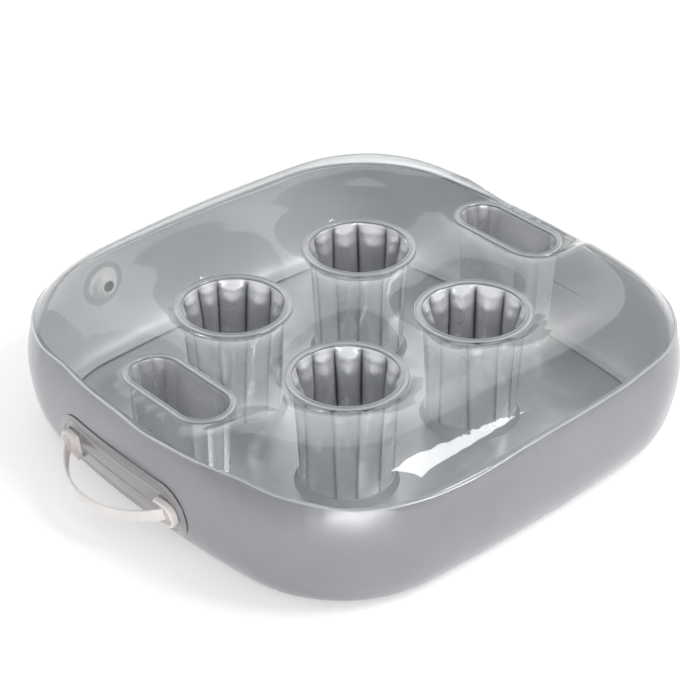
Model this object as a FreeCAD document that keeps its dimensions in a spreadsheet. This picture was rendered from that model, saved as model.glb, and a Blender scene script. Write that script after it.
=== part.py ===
import FreeCAD, Part
import math
import os
from FreeCAD import Placement, Rotation, Vector

# Floating drink holder: an inflated vinyl tray with a silver side band and bottom,
# a clear top film, four pleated cup pockets, two phone pockets, a valve and two handles.
# Origin: on the surface that it rests on, under the middle of the tray. Millimetres, Z up.

doc = FreeCAD.newDocument("floating_drink_holder")

# Driving dimensions
sheet = doc.addObject("Spreadsheet::Sheet", "sizes")
DIMENSIONS = [
    ("vinyl_gauge", 0.6, "silver sheet of the band, bottom and pockets"),
    ("film_gauge", 0.6, "clear top film"),
    ("half_length", 221.5, "seam outline, centre to the middle of an end, along X"),
    ("half_width", 216.0, "seam outline, centre to the middle of a side, along Y"),
    ("end_arc_radius", 900.0, "gentle bow of the two ends"),
    ("side_arc_radius", 1700.0, "gentle bow of the two sides"),
    ("corner_radius", 110.0, "round corners of the seam outline"),
    ("seam_height", 92.0, "height of the seam between band and film"),
    ("seam_flange", 4.0, "turned-in edge of the band at the seam"),
    ("seam_lap", 2.0, "flat edge of the film welded on it"),
    ("bulge_out", 6.7, "how far the band swells past the seam"),
    ("bulge_height", 59.0, "height of the widest line of the band"),
    ("bottom_inset", 15.0, "how far the band turns in under the tray"),
    ("bottom_flange", 5.0, "lap of the band on the bottom sheet"),
    ("crown_rise", 26.0, "crest of the inflated film above the seam"),
    ("deck_height", 98.0, "underside of the film round the cup openings"),
    ("cup_room_share", 0.3676, "share of the room beside the cups along X that is between the middle and the cups"),
    ("cup_gap_across", 39.6, "between the welds of two cups along Y"),
    ("cup_opening", 84.0, "diameter of a cup opening"),
    ("cup_rim", 6.0, "width of the weld round a cup opening"),
    ("cup_waist", 70.0, "clear diameter between the swollen pleats"),
    ("cup_crease", 78.0, "diameter over the creases at the waist"),
    ("cup_foot", 75.0, "diameter of the pocket at its floor"),
    ("foot_flange", 6.0, "turned-in weld at a pocket's foot"),
    ("phone_inset", 44.5, "end seam to the middle of a phone pocket"),
    ("phone_opening_length", 98.0, "phone opening along Y"),
    ("phone_opening_width", 41.0, "phone opening along X"),
    ("phone_rim", 5.0, "width of the weld round a phone opening"),
    ("phone_rim_height", 102.5, "underside of the film round a phone opening"),
    ("phone_pinch", 3.0, "how far the long walls swell into the phone pocket"),
    ("phone_draw", 2.5, "how much smaller the phone pocket is at its floor, per side"),
    ("pocket_floor_height", 8.0, "top of the pocket floors above the ground"),
    ("dimple_flare", 4.0, "how much wider a dimple of the bottom is at the ground"),
    ("weld_clearance", 0.15, "film to pocket flange"),
    ("valve_along", -89.0, "place of the valve along X, on the +Y side"),
    ("valve_height", 60.0, "height of the valve axis"),
    ("valve_flange_diameter", 40.0, "welded flange of the valve"),
    ("valve_flange_gauge", 0.9, "thickness of that flange"),
    ("valve_collar_diameter", 19.0, "moulded collar of the valve"),
    ("valve_collar_proud", 0.8, "collar outside the band"),
    ("valve_collar_inside", 8.0, "collar inside the band"),
    ("valve_lip_diameter", 14.0, "lip at the inner end of the collar"),
    ("valve_lip_length", 2.0, "how far that lip stands out"),
    ("valve_bore", 9.6, "air hole of the valve"),
    ("valve_fit", 0.2, "clearance of the collar in the band and of the plug in the bore"),
    ("plug_cap_diameter", 16.0, "cap of the valve plug"),
    ("plug_cap_thickness", 1.4, "thickness of that cap"),
    ("plug_cap_round", 0.6, "rounding of the cap's edge"),
    ("plug_stem_length", 7.0, "stem of the plug"),
    ("plug_tab_length", 9.0, "pull tab of the plug"),
    ("plug_tab_width", 7.0, "width of the pull tab"),
    ("handle_shift", 15.0, "handle centre from the middle of its end, along Y"),
    ("handle_height", 37.0, "height of the handle base centre"),
    ("handle_base_length", 158.0, "moulded handle base along Y"),
    ("handle_base_width", 50.0, "moulded handle base from edge to edge"),
    ("handle_base_gauge", 1.2, "thickness of the handle base"),
    ("handle_base_clearance", 0.3, "handle base to the band"),
    ("handle_bead_inset", 3.6, "edge of the handle base to the first raised bead"),
    ("handle_bead_pitch", 4.2, "from one bead to the next"),
    ("handle_bead_width", 2.0, "width of a bead"),
    ("handle_bead_rise", 0.5, "how far a bead stands above the base"),
    ("strap_span", 120.0, "between the two ends of the strap"),
    ("strap_bow", 29.0, "how far the strap stands out between its ends"),
    ("strap_width", 12.0, "strap across"),
    ("strap_gauge", 2.0, "strap thickness"),
    ("strap_tilt", 27.0, "droop of the strap below level, in degrees"),
    ("strap_standoff", 2.4, "strap end clear of the handle base"),
    ("strap_slot_clearance", 0.15, "strap end in its anchor"),
    ("anchor_radius", 11.0, "round end of a strap anchor"),
    ("anchor_neck", 9.0, "straight part of a strap anchor"),
    ("anchor_rise", 6.0, "anchor above the handle base"),
    ("anchor_wall", 2.2, "raised arch of the anchor"),
    ("anchor_floor", 1.4, "plate inside the arch"),
]
for row, (alias, value, note) in enumerate(DIMENSIONS, start=1):
    sheet.set("A%d" % row, alias)
    sheet.set("B%d" % row, str(value))
    sheet.set("C%d" % row, note)
    sheet.setAlias("B%d" % row, alias)
doc.recompute()

CUT_CLEAR = 10.0  # how far a cutting shape passes beyond the piece that it cuts
PLEATS_ROUND_CUP = 12
PLEATS_ROUND_PHONE_END = 5


def size(alias):
    return float(sheet.get(alias))


def add_shape(label, shape):
    feature = doc.addObject("Part::Feature", label)
    feature.Label = label
    feature.Shape = shape
    return feature


def smooth_step(share):
    share = min(1.0, max(0.0, share))
    return share ** 3 * (10 - 15 * share + 6 * share ** 2)


# Outline of the tray: end arcs, side arcs and corner arcs, each tangent to the next
HALF_LENGTH = size("half_length")
HALF_WIDTH = size("half_width")
END_RADIUS = size("end_arc_radius")
SIDE_RADIUS = size("side_arc_radius")
CORNER_RADIUS = size("corner_radius")
END_CENTRE = Vector(HALF_LENGTH - END_RADIUS, 0, 0)
SIDE_CENTRE = Vector(0, HALF_WIDTH - SIDE_RADIUS, 0)


def corner_centre():
    """The point that lies a corner radius inside both the end arc and the side arc."""
    to_end = END_RADIUS - CORNER_RADIUS
    to_side = SIDE_RADIUS - CORNER_RADIUS
    between = SIDE_CENTRE - END_CENTRE
    along = (to_end ** 2 - to_side ** 2 + between.Length ** 2) / (2 * between.Length)
    aside = math.sqrt(to_end ** 2 - along ** 2)
    unit = Vector(between).normalize()
    return END_CENTRE + unit * along + Vector(-unit.y, unit.x, 0) * aside


CORNER_CENTRE = corner_centre()
END_TO_CORNER = (CORNER_CENTRE - END_CENTRE).normalize()
SIDE_TO_CORNER = (CORNER_CENTRE - SIDE_CENTRE).normalize()


def mirrored(point, along, across):
    return Vector(point.x * along, point.y * across, point.z)


def outline_wire(offset, height):
    """The seam outline moved outwards by offset, as eight tangent arcs."""
    lift = Vector(0, 0, height)
    end_point = END_CENTRE + END_TO_CORNER * (END_RADIUS + offset) + lift
    side_point = SIDE_CENTRE + SIDE_TO_CORNER * (SIDE_RADIUS + offset) + lift
    middle = (END_TO_CORNER + SIDE_TO_CORNER).normalize()
    corner_point = CORNER_CENTRE + middle * (CORNER_RADIUS + offset) + lift
    end_middle = Vector(HALF_LENGTH + offset, 0, height)
    side_middle = Vector(0, HALF_WIDTH + offset, height)
    arcs = []
    for along, across in ((1, 1), (-1, 1), (-1, -1), (1, -1)):
        first, last = (end_point, side_point) if along * across > 0 else (side_point, end_point)
        arcs.append(Part.Arc(mirrored(first, along, across), mirrored(corner_point, along, across),
                             mirrored(last, along, across)).toShape())
        if along * across > 0:
            arcs.append(Part.Arc(mirrored(side_point, along, across), mirrored(side_middle, along, across),
                                 mirrored(side_point, -along, across)).toShape())
        else:
            arcs.append(Part.Arc(mirrored(end_point, along, across), mirrored(end_middle, along, across),
                                 mirrored(end_point, along, -across)).toShape())
    return Part.Wire(arcs)


def outline_slab(offset, bottom, top):
    return Part.Face(outline_wire(offset, bottom)).extrude(Vector(0, 0, top - bottom))


# Side band: the swollen silver wall, from the seam to where it laps the bottom sheet
SEAM = size("seam_height")
VINYL = size("vinyl_gauge")
BULGE = size("bulge_out")
WIDEST = size("bulge_height")
TURN_IN = size("bottom_inset") + BULGE
BAND_BOTTOM = VINYL
UPPER_RISE = SEAM - WIDEST
UPPER_RADIUS = (BULGE ** 2 + UPPER_RISE ** 2) / (2 * BULGE)


def band_profile(skin):
    """Offset and height down the band, moved outwards by skin along its normal."""
    stations = []
    upper_steps = 4
    for step in range(upper_steps):
        height = SEAM - UPPER_RISE * step / upper_steps
        reach = math.sqrt((UPPER_RADIUS + skin) ** 2 - (height - WIDEST) ** 2)
        stations.append((BULGE - UPPER_RADIUS + reach, height))
    drop = WIDEST - BAND_BOTTOM
    lower_steps = 8
    for step in range(lower_steps + 1):
        turn = math.pi / 2 * step / lower_steps
        normal = Vector(drop * math.cos(turn), -TURN_IN * math.sin(turn), 0).normalize()
        stations.append((BULGE - TURN_IN * (1 - math.cos(turn)) + skin * normal.x,
                         WIDEST - drop * math.sin(turn) + skin * normal.y))
    return stations


def tray_volume(skin):
    """Solid inside the band's outer face, moved outwards by skin."""
    return Part.makeLoft([outline_wire(offset, height) for offset, height in band_profile(skin)], True, True)


TRAY = tray_volume(0.0)
TRAY_INSIDE = tray_volume(-VINYL)


def band_offset_at(height):
    """How far the band stands outside the seam outline at a height."""
    if height >= WIDEST:
        return BULGE - UPPER_RADIUS + math.sqrt(UPPER_RADIUS ** 2 - (height - WIDEST) ** 2)
    share = (WIDEST - height) / (WIDEST - BAND_BOTTOM)
    return BULGE - TURN_IN * (1 - math.sqrt(1 - share ** 2))


def side_reach(along, offset):
    """Y of the side arc at a place along X."""
    return SIDE_CENTRE.y + math.sqrt((SIDE_RADIUS + offset) ** 2 - along ** 2)


def end_reach(across, offset):
    """X of the end arc at a place along Y."""
    return END_CENTRE.x + math.sqrt((END_RADIUS + offset) ** 2 - across ** 2)


VALVE_X = size("valve_along")
VALVE_Z = size("valve_height")
VALVE_FACE = side_reach(VALVE_X, band_offset_at(VALVE_Z))


def valve_cylinder(diameter, start, length):
    """A cylinder on the valve axis, from start inwards along -Y."""
    return Part.makeCylinder(diameter / 2, length, Vector(VALVE_X, start, VALVE_Z), Vector(0, -1, 0))


def make_side_band():
    skin = TRAY.cut(TRAY_INSIDE)
    lap = outline_slab(-size("bottom_inset") - size("bottom_flange"), -1, WIDEST)
    seam_ring = outline_slab(0, SEAM - VINYL, SEAM)
    seam_ring = seam_ring.cut(outline_slab(-size("seam_flange"), SEAM - 2 * VINYL, SEAM + 1))
    valve_hole = valve_cylinder(size("valve_collar_diameter") + 2 * size("valve_fit"), VALVE_FACE + CUT_CLEAR,
                                 3 * CUT_CLEAR)
    return skin.cut(lap).fuse(seam_ring).cut(valve_hole).removeSplitter()


side_band = add_shape("side_band", make_side_band())

# Places of the pockets
DECK = size("deck_height")
CUP_RADIUS = size("cup_opening") / 2
RING_RADIUS = CUP_RADIUS + size("cup_rim")
PHONE_RIM_Z = size("phone_rim_height")
PHONE_RADIUS = size("phone_opening_width") / 2
PHONE_OUTER_RADIUS = PHONE_RADIUS + size("phone_rim")
PHONE_STRAIGHT = size("phone_opening_length") / 2 - PHONE_RADIUS
PHONE_X = HALF_LENGTH - size("phone_inset")
CUP_ROOM = PHONE_X - PHONE_OUTER_RADIUS - 2 * RING_RADIUS
CUP_X = RING_RADIUS + CUP_ROOM * size("cup_room_share")
CUP_Y = RING_RADIUS + size("cup_gap_across") / 2
places = doc.addObject("Spreadsheet::Sheet", "places")
for row, (alias, value) in enumerate((("cup_x", CUP_X), ("cup_y", CUP_Y)), start=1):
    places.set("A%d" % row, alias)
    places.set("B%d" % row, str(value))
    places.setAlias("B%d" % row, alias)
doc.recompute()
CUPS = (("left", -1, 1), ("front", -1, -1), ("right", 1, -1), ("rear", 1, 1))
PHONES = (("left", -1), ("right", 1))


def stadium_wire(radius, height, centre_x=0.0, straight=PHONE_STRAIGHT):
    """Two straight sides along Y joined by half circles."""
    right, left = centre_x + radius, centre_x - radius
    return Part.Wire([
        Part.LineSegment(Vector(right, -straight, height), Vector(right, straight, height)).toShape(),
        Part.Arc(Vector(right, straight, height), Vector(centre_x, straight + radius, height),
                 Vector(left, straight, height)).toShape(),
        Part.LineSegment(Vector(left, straight, height), Vector(left, -straight, height)).toShape(),
        Part.Arc(Vector(left, -straight, height), Vector(centre_x, -straight - radius, height),
                 Vector(right, -straight, height)).toShape(),
    ])


def stadium_slab(radius, bottom, top, centre_x=0.0):
    return Part.Face(stadium_wire(radius, bottom, centre_x)).extrude(Vector(0, 0, top - bottom))


# Top film: one sheet that the air lifts between its welds, as a soap film would stand
FILM = size("film_gauge")
SEAM_LAP = size("seam_lap")
NET_PITCH = 3.0
NET_SWEEPS = 130
OVER_RELAX = 1.9
SEAM_SLOPE = 1.2
GRID_PITCH = 9.0
HEM = 4.5


def outline_inset(along, across):
    """Distance inside the seam outline, near it."""
    point = Vector(abs(along), abs(across), 0)
    from_end = point - END_CENTRE
    from_side = point - SIDE_CENTRE
    if from_end.y * END_TO_CORNER.x < from_end.x * END_TO_CORNER.y:
        return END_RADIUS - from_end.Length
    if from_side.x * SIDE_TO_CORNER.y < from_side.y * SIDE_TO_CORNER.x:
        return SIDE_RADIUS - from_side.Length
    return CORNER_RADIUS - (point - CORNER_CENTRE).Length


def weld_height(along, across):
    """Height of the film where a weld or the ground outside the seam holds it, otherwise None."""
    inset = outline_inset(along, across)
    if inset <= 0:
        return SEAM + SEAM_SLOPE * inset
    if math.hypot(along - CUP_X, across - CUP_Y) < RING_RADIUS:
        return DECK
    if math.hypot(along - PHONE_X, max(0.0, across - PHONE_STRAIGHT)) < PHONE_OUTER_RADIUS:
        return PHONE_RIM_Z
    return None


def film_net():
    """Heights on a net over the +X +Y quarter, where each free knot hangs between its neighbours."""
    columns = int(HALF_LENGTH / NET_PITCH) + 4
    rows = int(HALF_WIDTH / NET_PITCH) + 4
    still, lifted, free = [], [], []
    for i in range(columns):
        for j in range(rows):
            height = weld_height(i * NET_PITCH, j * NET_PITCH)
            still.append(DECK if height is None else height)
            lifted.append(0.0)
            if height is None:
                free.append((i * rows + j, (i + 1) * rows + j, abs(i - 1) * rows + j,
                             i * rows + j + 1, i * rows + abs(j - 1)))
    for sweep in range(NET_SWEEPS):
        for here, east, west, north, south in free:
            rest = (still[east] + still[west] + still[north] + still[south]) / 4
            still[here] += OVER_RELAX * (rest - still[here])
            rest = 1 + (lifted[east] + lifted[west] + lifted[north] + lifted[south]) / 4
            lifted[here] += OVER_RELAX * (rest - lifted[here])
    crest = SEAM + size("crown_rise")
    pressure = min((crest - still[knot[0]]) / lifted[knot[0]] for knot in free)
    heights = [low + pressure * lift for low, lift in zip(still, lifted)]
    return [heights[i * rows:(i + 1) * rows] for i in range(columns)]


NET = film_net()


def film_height(along, across):
    column, row = abs(along) / NET_PITCH, abs(across) / NET_PITCH
    i = min(int(column), len(NET) - 2)
    j = min(int(row), len(NET[0]) - 2)
    east, north = column - i, row - j
    near = NET[i][j] * (1 - north) + NET[i][j + 1] * north
    far = NET[i + 1][j] * (1 - north) + NET[i + 1][j + 1] * north
    return near * (1 - east) + far * east


def turned_half_way(shape):
    turned = shape.copy()
    turned.rotate(Vector(), Vector(0, 0, 1), 180)
    return turned


def flat_face(wires):
    return Part.makeFace(wires, "Part::FaceMakerBullseye")


def thicken_upwards(faces, gauge):
    """A solid sheet: the joined faces, the same faces lifted by gauge, and walls along their free edges."""
    up = Vector(0, 0, gauge)
    under = Part.makeShell(faces)
    under.sewShape()
    walls = [edge.extrude(up) for edge in under.Edges if len(under.ancestorsOfType(edge, Part.Face)) == 1]
    over = [face.translated(up) for face in under.Faces]
    skin = Part.makeShell(under.Faces + over + walls)
    skin.sewShape()
    solid = Part.makeSolid(skin)
    if solid.Volume < 0:
        solid.reverse()
    return solid


def hem(edge, to_weld):
    """The strip from one edge of the lifted film down to its weld, and the strip's edge there."""
    first, last = edge.ParameterRange
    ends = [to_weld(edge.valueAt(first + (last - first) * share)) for share in (0, 0.5, 1)]
    if (ends[1] - ends[0]).cross(ends[2] - ends[0]).Length < 0.01:
        weld_edge = Part.LineSegment(ends[0], ends[2]).toShape()
    else:
        weld_edge = Part.Arc(*ends).toShape()
    return Part.makeRuledSurface(edge, weld_edge), weld_edge


def onto_seam(point):
    """The point of the lap's inner edge outside a point of the film's edge."""
    flat = Vector(abs(point.x), abs(point.y), 0)
    if (flat - END_CENTRE).y * END_TO_CORNER.x < (flat - END_CENTRE).x * END_TO_CORNER.y + 0.01:
        centre = END_CENTRE
    elif (flat - SIDE_CENTRE).x * SIDE_TO_CORNER.y < (flat - SIDE_CENTRE).y * SIDE_TO_CORNER.x + 0.01:
        centre = SIDE_CENTRE
    else:
        centre = CORNER_CENTRE
    outward = (flat - centre).normalize() * HEM
    return Vector(math.copysign(flat.x + outward.x, point.x), math.copysign(flat.y + outward.y, point.y), SEAM)


def onto_ring(centre, height, radius):
    """A map from a point round a pocket to the weld line of that pocket."""
    def mapped(point):
        spine = Vector(centre.x, min(centre.z, max(-centre.z, point.y - centre.y)) + centre.y, 0)
        outward = (Vector(point.x, point.y, 0) - spine).normalize() * radius
        return Vector(spine.x + outward.x, spine.y + outward.y, height)
    return mapped


def make_top_film():
    reach_x = HALF_LENGTH + NET_PITCH
    reach_y = HALF_WIDTH + NET_PITCH
    columns = int(reach_x / GRID_PITCH) + 1
    rows = 2 * int(reach_y / GRID_PITCH) + 1
    grid = []
    for i in range(columns):
        along = reach_x * i / (columns - 1)
        line = []
        for j in range(rows):
            across = reach_y * (2 * j / (rows - 1) - 1)
            line.append(Vector(along, across, film_height(along, across)))
        grid.append(line)
    surface = Part.BSplineSurface()
    surface.interpolate(grid)
    half = surface.toShape()
    half = half.common(outline_slab(-SEAM_LAP - HEM, 0, 4 * SEAM))
    pockets = [(Vector(CUP_X, sign * CUP_Y, 0), DECK, RING_RADIUS, CUP_RADIUS) for sign in (1, -1)]
    pockets.append((Vector(PHONE_X, 0, PHONE_STRAIGHT), PHONE_RIM_Z, PHONE_OUTER_RADIUS, PHONE_RADIUS))
    for centre, height, outer, inner in pockets:
        tool = Part.Face(stadium_wire(outer + HEM, 0, centre.x, centre.z)) if centre.z else Part.Face(
            Part.Wire([Part.makeCircle(outer + HEM, centre, Vector(0, 0, 1), 0, 180),
                       Part.makeCircle(outer + HEM, centre, Vector(0, 0, 1), 180, 360)]))
        half = half.cut(tool.extrude(Vector(0, 0, 4 * SEAM)))
    faces = list(half.Faces)
    seam_edges, pocket_edges = [], [[], [], []]
    for edge in half.Edges:
        middle = edge.valueAt(sum(edge.ParameterRange) / 2)
        if middle.x < 0.01:
            continue
        nearest = None
        for index, (centre, height, outer, inner) in enumerate(pockets):
            beyond = max(0.0, abs(middle.y - centre.y) - centre.z)
            if math.hypot(middle.x - centre.x, beyond) < outer + HEM + 0.5:
                nearest = index
        if nearest is None:
            strip, weld_edge = hem(edge, onto_seam)
            seam_edges.append(weld_edge)
        else:
            centre, height, outer, inner = pockets[nearest]
            strip, weld_edge = hem(edge, onto_ring(centre, height, outer))
            pocket_edges[nearest].append(weld_edge)
        faces.append(strip)
    for (centre, height, outer, inner), edges in zip(pockets, pocket_edges):
        around = Part.Wire(Part.__sortEdges__(edges))
        if centre.z:
            opening = stadium_wire(inner, height, centre.x)
        else:
            opening = Part.Wire([Part.makeCircle(inner, centre + Vector(0, 0, height))])
        faces.append(flat_face([around, opening]))
    lap = Part.Wire(Part.__sortEdges__(seam_edges + [turned_half_way(edge) for edge in seam_edges]))
    whole = faces + [turned_half_way(face) for face in faces]
    whole += flat_face([outline_wire(0, SEAM), lap]).Faces
    return thicken_upwards(whole, FILM)


top_film = add_shape("top_film", make_top_film())

# Pockets: sleeves of silver sheet that the air pressure swells between creases
FLOOR = size("pocket_floor_height")
PANEL_SHARE = 0.4


def pleated_wire(creases, swells, height):
    """A closed line through the creases, each panel between two of them swollen towards the middle."""
    points = []
    for index, crease in enumerate(creases):
        chord = creases[(index + 1) % len(creases)] - crease
        inward = Vector(-chord.y, chord.x, 0).normalize() * swells[index]
        points.append(crease)
        points.append(crease + chord * (1 - PANEL_SHARE) / 2 + inward)
        points.append(crease + chord * (1 + PANEL_SHARE) / 2 + inward)
    lift = Vector(0, 0, height)
    return Part.makePolygon([point + lift for point in points + points[:1]])


def cup_section(crease_radius, panel_radius, height):
    half_angle = math.pi / PLEATS_ROUND_CUP
    creases = []
    for index in range(PLEATS_ROUND_CUP):
        angle = 2 * half_angle * index
        creases.append(Vector(math.cos(angle), math.sin(angle), 0) * crease_radius)
    swell = crease_radius * math.cos(half_angle) - panel_radius
    return pleated_wire(creases, [swell] * PLEATS_ROUND_CUP, height)


def cup_stations():
    """Crease radius, panel radius and height down a cup pocket."""
    rim = size("cup_opening") / 2
    waist = size("cup_waist") / 2
    crease = size("cup_crease") / 2
    foot = size("cup_foot") / 2
    top = DECK - size("weld_clearance") - VINYL
    bottom = FLOOR + VINYL
    depth = top - bottom
    return [
        (rim, rim, top),
        (rim - (rim - crease) * 0.3, rim - (rim - waist) * 0.5, top - depth * 0.1),
        (rim - (rim - crease) * 0.8, rim - (rim - waist) * 0.9, top - depth * 0.25),
        (crease, waist, top - depth * 0.42),
        (crease - (crease - foot) * 0.6, waist + (foot - waist) * 0.4, top - depth * 0.75),
        (foot, foot - (crease - waist) * 0.12, bottom),
    ]


def ring(outer, inner, bottom):
    """A flat weld flange of one sheet thickness."""
    return Part.makeCylinder(outer, VINYL, Vector(0, 0, bottom)).cut(
        Part.makeCylinder(inner, 3 * VINYL, Vector(0, 0, bottom - VINYL)))


def make_cup_sleeve():
    stations = cup_stations()
    outer = Part.makeLoft([cup_section(crease + VINYL, panel + VINYL, height)
                           for crease, panel, height in stations], True, True)
    inner = Part.makeLoft([cup_section(crease, panel, height) for crease, panel, height in stations], True, True)
    rim = size("cup_opening") / 2
    foot = size("cup_foot") / 2
    top_flange = ring(rim + size("cup_rim"), rim, stations[0][2])
    foot_flange = ring(foot + VINYL, foot - size("foot_flange"), FLOOR)
    return outer.cut(inner).fuse([top_flange, foot_flange]).removeSplitter()


def phone_section(grow, height, draw, swell_share):
    """A stadium with its round ends pleated and its long sides pressed in."""
    radius = size("phone_opening_width") / 2 - draw
    straight = PHONE_STRAIGHT
    half_angle = math.pi / 2 / PLEATS_ROUND_PHONE_END
    creases = []
    for end in (1, -1):
        for index in range(PLEATS_ROUND_PHONE_END + 1):
            angle = 2 * half_angle * index + (0 if end > 0 else math.pi)
            around = Vector(math.cos(angle), math.sin(angle), 0) * (radius + grow)
            creases.append(around + Vector(0, end * straight, 0))
    round_out = (radius + grow) * (math.cos(half_angle) - 1)
    pleat_in = round_out * (1 - swell_share) + size("phone_pinch") * 0.5 * swell_share
    side_in = size("phone_pinch") * swell_share
    swells = ([pleat_in] * PLEATS_ROUND_PHONE_END + [side_in]) * 2
    return pleated_wire(creases, swells, height)


def make_phone_sleeve():
    radius = size("phone_opening_width") / 2
    top = PHONE_RIM_Z - size("weld_clearance") - VINYL
    bottom = FLOOR + VINYL
    draw = size("phone_draw")
    stations = [(0.0, 0.0, 0.0), (0.12, 0.15, 0.5), (0.4, 0.6, 1.0), (0.75, 0.9, 0.9), (1.0, 1.0, 0.2)]
    walls = []
    for grow in (VINYL, 0.0):
        walls.append(Part.makeLoft([phone_section(grow, top - (top - bottom) * down, draw * drawn, swell)
                                    for down, drawn, swell in stations], True, True))
    top_flange = stadium_slab(radius + size("phone_rim"), top, top + VINYL).cut(
        stadium_slab(radius, top - 1, top + 1 + VINYL))
    foot_flange = stadium_slab(radius - draw + VINYL, FLOOR, FLOOR + VINYL).cut(
        stadium_slab(radius - draw - size("foot_flange"), FLOOR - 1, FLOOR + 1 + VINYL))
    return walls[0].cut(walls[1]).fuse([top_flange, foot_flange]).removeSplitter()


cup_shape = make_cup_sleeve()
phone_shape = make_phone_sleeve()
nodes = [side_band, top_film]
for name, along, across in CUPS:
    sleeve = add_shape("cup_sleeve_" + name, cup_shape)
    sleeve.Placement = Placement(Vector(along * CUP_X, across * CUP_Y, 0), Rotation())
    floor = doc.addObject("Part::Cylinder", "cup_floor_" + name)
    floor.Label = "cup_floor_" + name
    floor.setExpression("Radius", "sizes.cup_foot / 2 + sizes.vinyl_gauge")
    floor.setExpression("Height", "sizes.vinyl_gauge")
    floor.setExpression("Placement.Base.x", "%d * places.cup_x" % along)
    floor.setExpression("Placement.Base.y", "%d * places.cup_y" % across)
    floor.setExpression("Placement.Base.z", "sizes.pocket_floor_height - sizes.vinyl_gauge")
    nodes += [sleeve, floor]

PHONE_FOOT_RADIUS = size("phone_opening_width") / 2 - size("phone_draw") + VINYL
for name, along in PHONES:
    sleeve = add_shape("phone_sleeve_" + name, phone_shape)
    sleeve.Placement = Placement(Vector(along * PHONE_X, 0, 0), Rotation(Vector(0, 0, 1), 90 - 90 * along))
    floor = add_shape("phone_floor_" + name, stadium_slab(PHONE_FOOT_RADIUS, FLOOR - VINYL, FLOOR))
    floor.Placement = Placement(Vector(along * PHONE_X, 0, 0), Rotation())
    nodes += [sleeve, floor]


# Bottom sheet: flat on the ground, drawn up in a dimple under each pocket floor
def make_bottom_panel():
    top = FLOOR - VINYL
    flare = size("dimple_flare")
    reach = top + VINYL
    panel = outline_slab(-size("bottom_inset"), 0, VINYL)
    hollows = []
    foot = size("cup_foot") / 2 + VINYL
    for name, along, across in CUPS:
        place = Vector(along * CUP_X, across * CUP_Y, 0)
        panel = panel.fuse(Part.makeCone(foot + flare, foot, top, place))
        hollows.append(Part.makeCone(foot + flare - VINYL, foot - VINYL, reach, place - Vector(0, 0, 2 * VINYL)))
    for name, along in PHONES:
        centre = along * PHONE_X
        panel = panel.fuse(Part.makeLoft([stadium_wire(PHONE_FOOT_RADIUS + flare, 0, centre),
                                          stadium_wire(PHONE_FOOT_RADIUS, top, centre)], True, True))
        hollows.append(Part.makeLoft([stadium_wire(PHONE_FOOT_RADIUS + flare - VINYL, -2 * VINYL, centre),
                                      stadium_wire(PHONE_FOOT_RADIUS - VINYL, top - VINYL, centre)], True, True))
    for hollow in hollows:
        panel = panel.cut(hollow)
    return panel.removeSplitter()


bottom_panel = add_shape("bottom_panel", make_bottom_panel())
nodes.append(bottom_panel)


# Valve: a flange welded inside the band, with a collar through it, pushed in flush
def make_valve_body():
    skin = TRAY_INSIDE.cut(tray_volume(-VINYL - size("valve_flange_gauge")))
    flange = skin.common(valve_cylinder(size("valve_flange_diameter"), VALVE_FACE + CUT_CLEAR, 3 * CUT_CLEAR))
    start = VALVE_FACE + size("valve_collar_proud")
    length = size("valve_collar_proud") + size("valve_collar_inside")
    collar = valve_cylinder(size("valve_collar_diameter"), start, length)
    lip = valve_cylinder(size("valve_lip_diameter"), start - length, size("valve_lip_length"))
    bore = valve_cylinder(size("valve_bore"), start + CUT_CLEAR, length + size("valve_lip_length") + 2 * CUT_CLEAR)
    return flange.fuse([collar, lip]).cut(bore).removeSplitter()


valve_body = add_shape("valve_body", make_valve_body())
nodes.append(valve_body)


def make_valve_plug():
    seat = VALVE_FACE + size("valve_collar_proud")
    cap_top = seat + size("plug_cap_thickness")
    cap = valve_cylinder(size("plug_cap_diameter"), cap_top, size("plug_cap_thickness"))
    cap = cap.makeFillet(size("plug_cap_round"), [cap.Edges[0]])
    stem_diameter = size("valve_bore") - 2 * size("valve_fit")
    stem = valve_cylinder(stem_diameter, seat, size("plug_stem_length"))
    tab_width = size("plug_tab_width")
    reach = size("plug_cap_diameter") / 2 + size("plug_tab_length") - tab_width / 2
    tab_thickness = size("plug_cap_thickness") / 2
    tab = Part.makeBox(tab_width, tab_thickness, reach,
                       Vector(VALVE_X - tab_width / 2, cap_top - tab_thickness, VALVE_Z - reach))
    tab_end = Part.makeCylinder(tab_width / 2, tab_thickness,
                                Vector(VALVE_X, cap_top - tab_thickness, VALVE_Z - reach), Vector(0, 1, 0))
    return cap.fuse([stem, tab, tab_end]).removeSplitter()


valve_plug = add_shape("valve_plug", make_valve_plug())
nodes.append(valve_plug)

# Handles: a moulded base on each end of the tray, with a strap held in two arched anchors
HANDLE_Y = size("handle_shift")
HANDLE_Z = size("handle_height")
HANDLE_BACK = tray_volume(size("handle_base_clearance"))
BASE_GAUGE = size("handle_base_clearance") + size("handle_base_gauge")
HANDLE_SKIN = tray_volume(BASE_GAUGE)
ANCHOR_ROOT = end_reach(HANDLE_Y, band_offset_at(HANDLE_Z)) + BASE_GAUGE
INTO_TRAY = 30.0


def handle_prism(half_straight, radius, outer, centre_y=None):
    """A stadium along Y, standing out from the -X end of the tray to outer."""
    middle = HANDLE_Y if centre_y is None else centre_y
    inner = ANCHOR_ROOT - INTO_TRAY
    box = Part.makeBox(outer - inner, 2 * half_straight, 2 * radius,
                       Vector(-outer, middle - half_straight, HANDLE_Z - radius))
    ends = [Part.makeCylinder(radius, outer - inner, Vector(-outer, middle + sign * half_straight, HANDLE_Z),
                              Vector(1, 0, 0)) for sign in (-1, 1)]
    return box.fuse(ends).removeSplitter()


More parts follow.
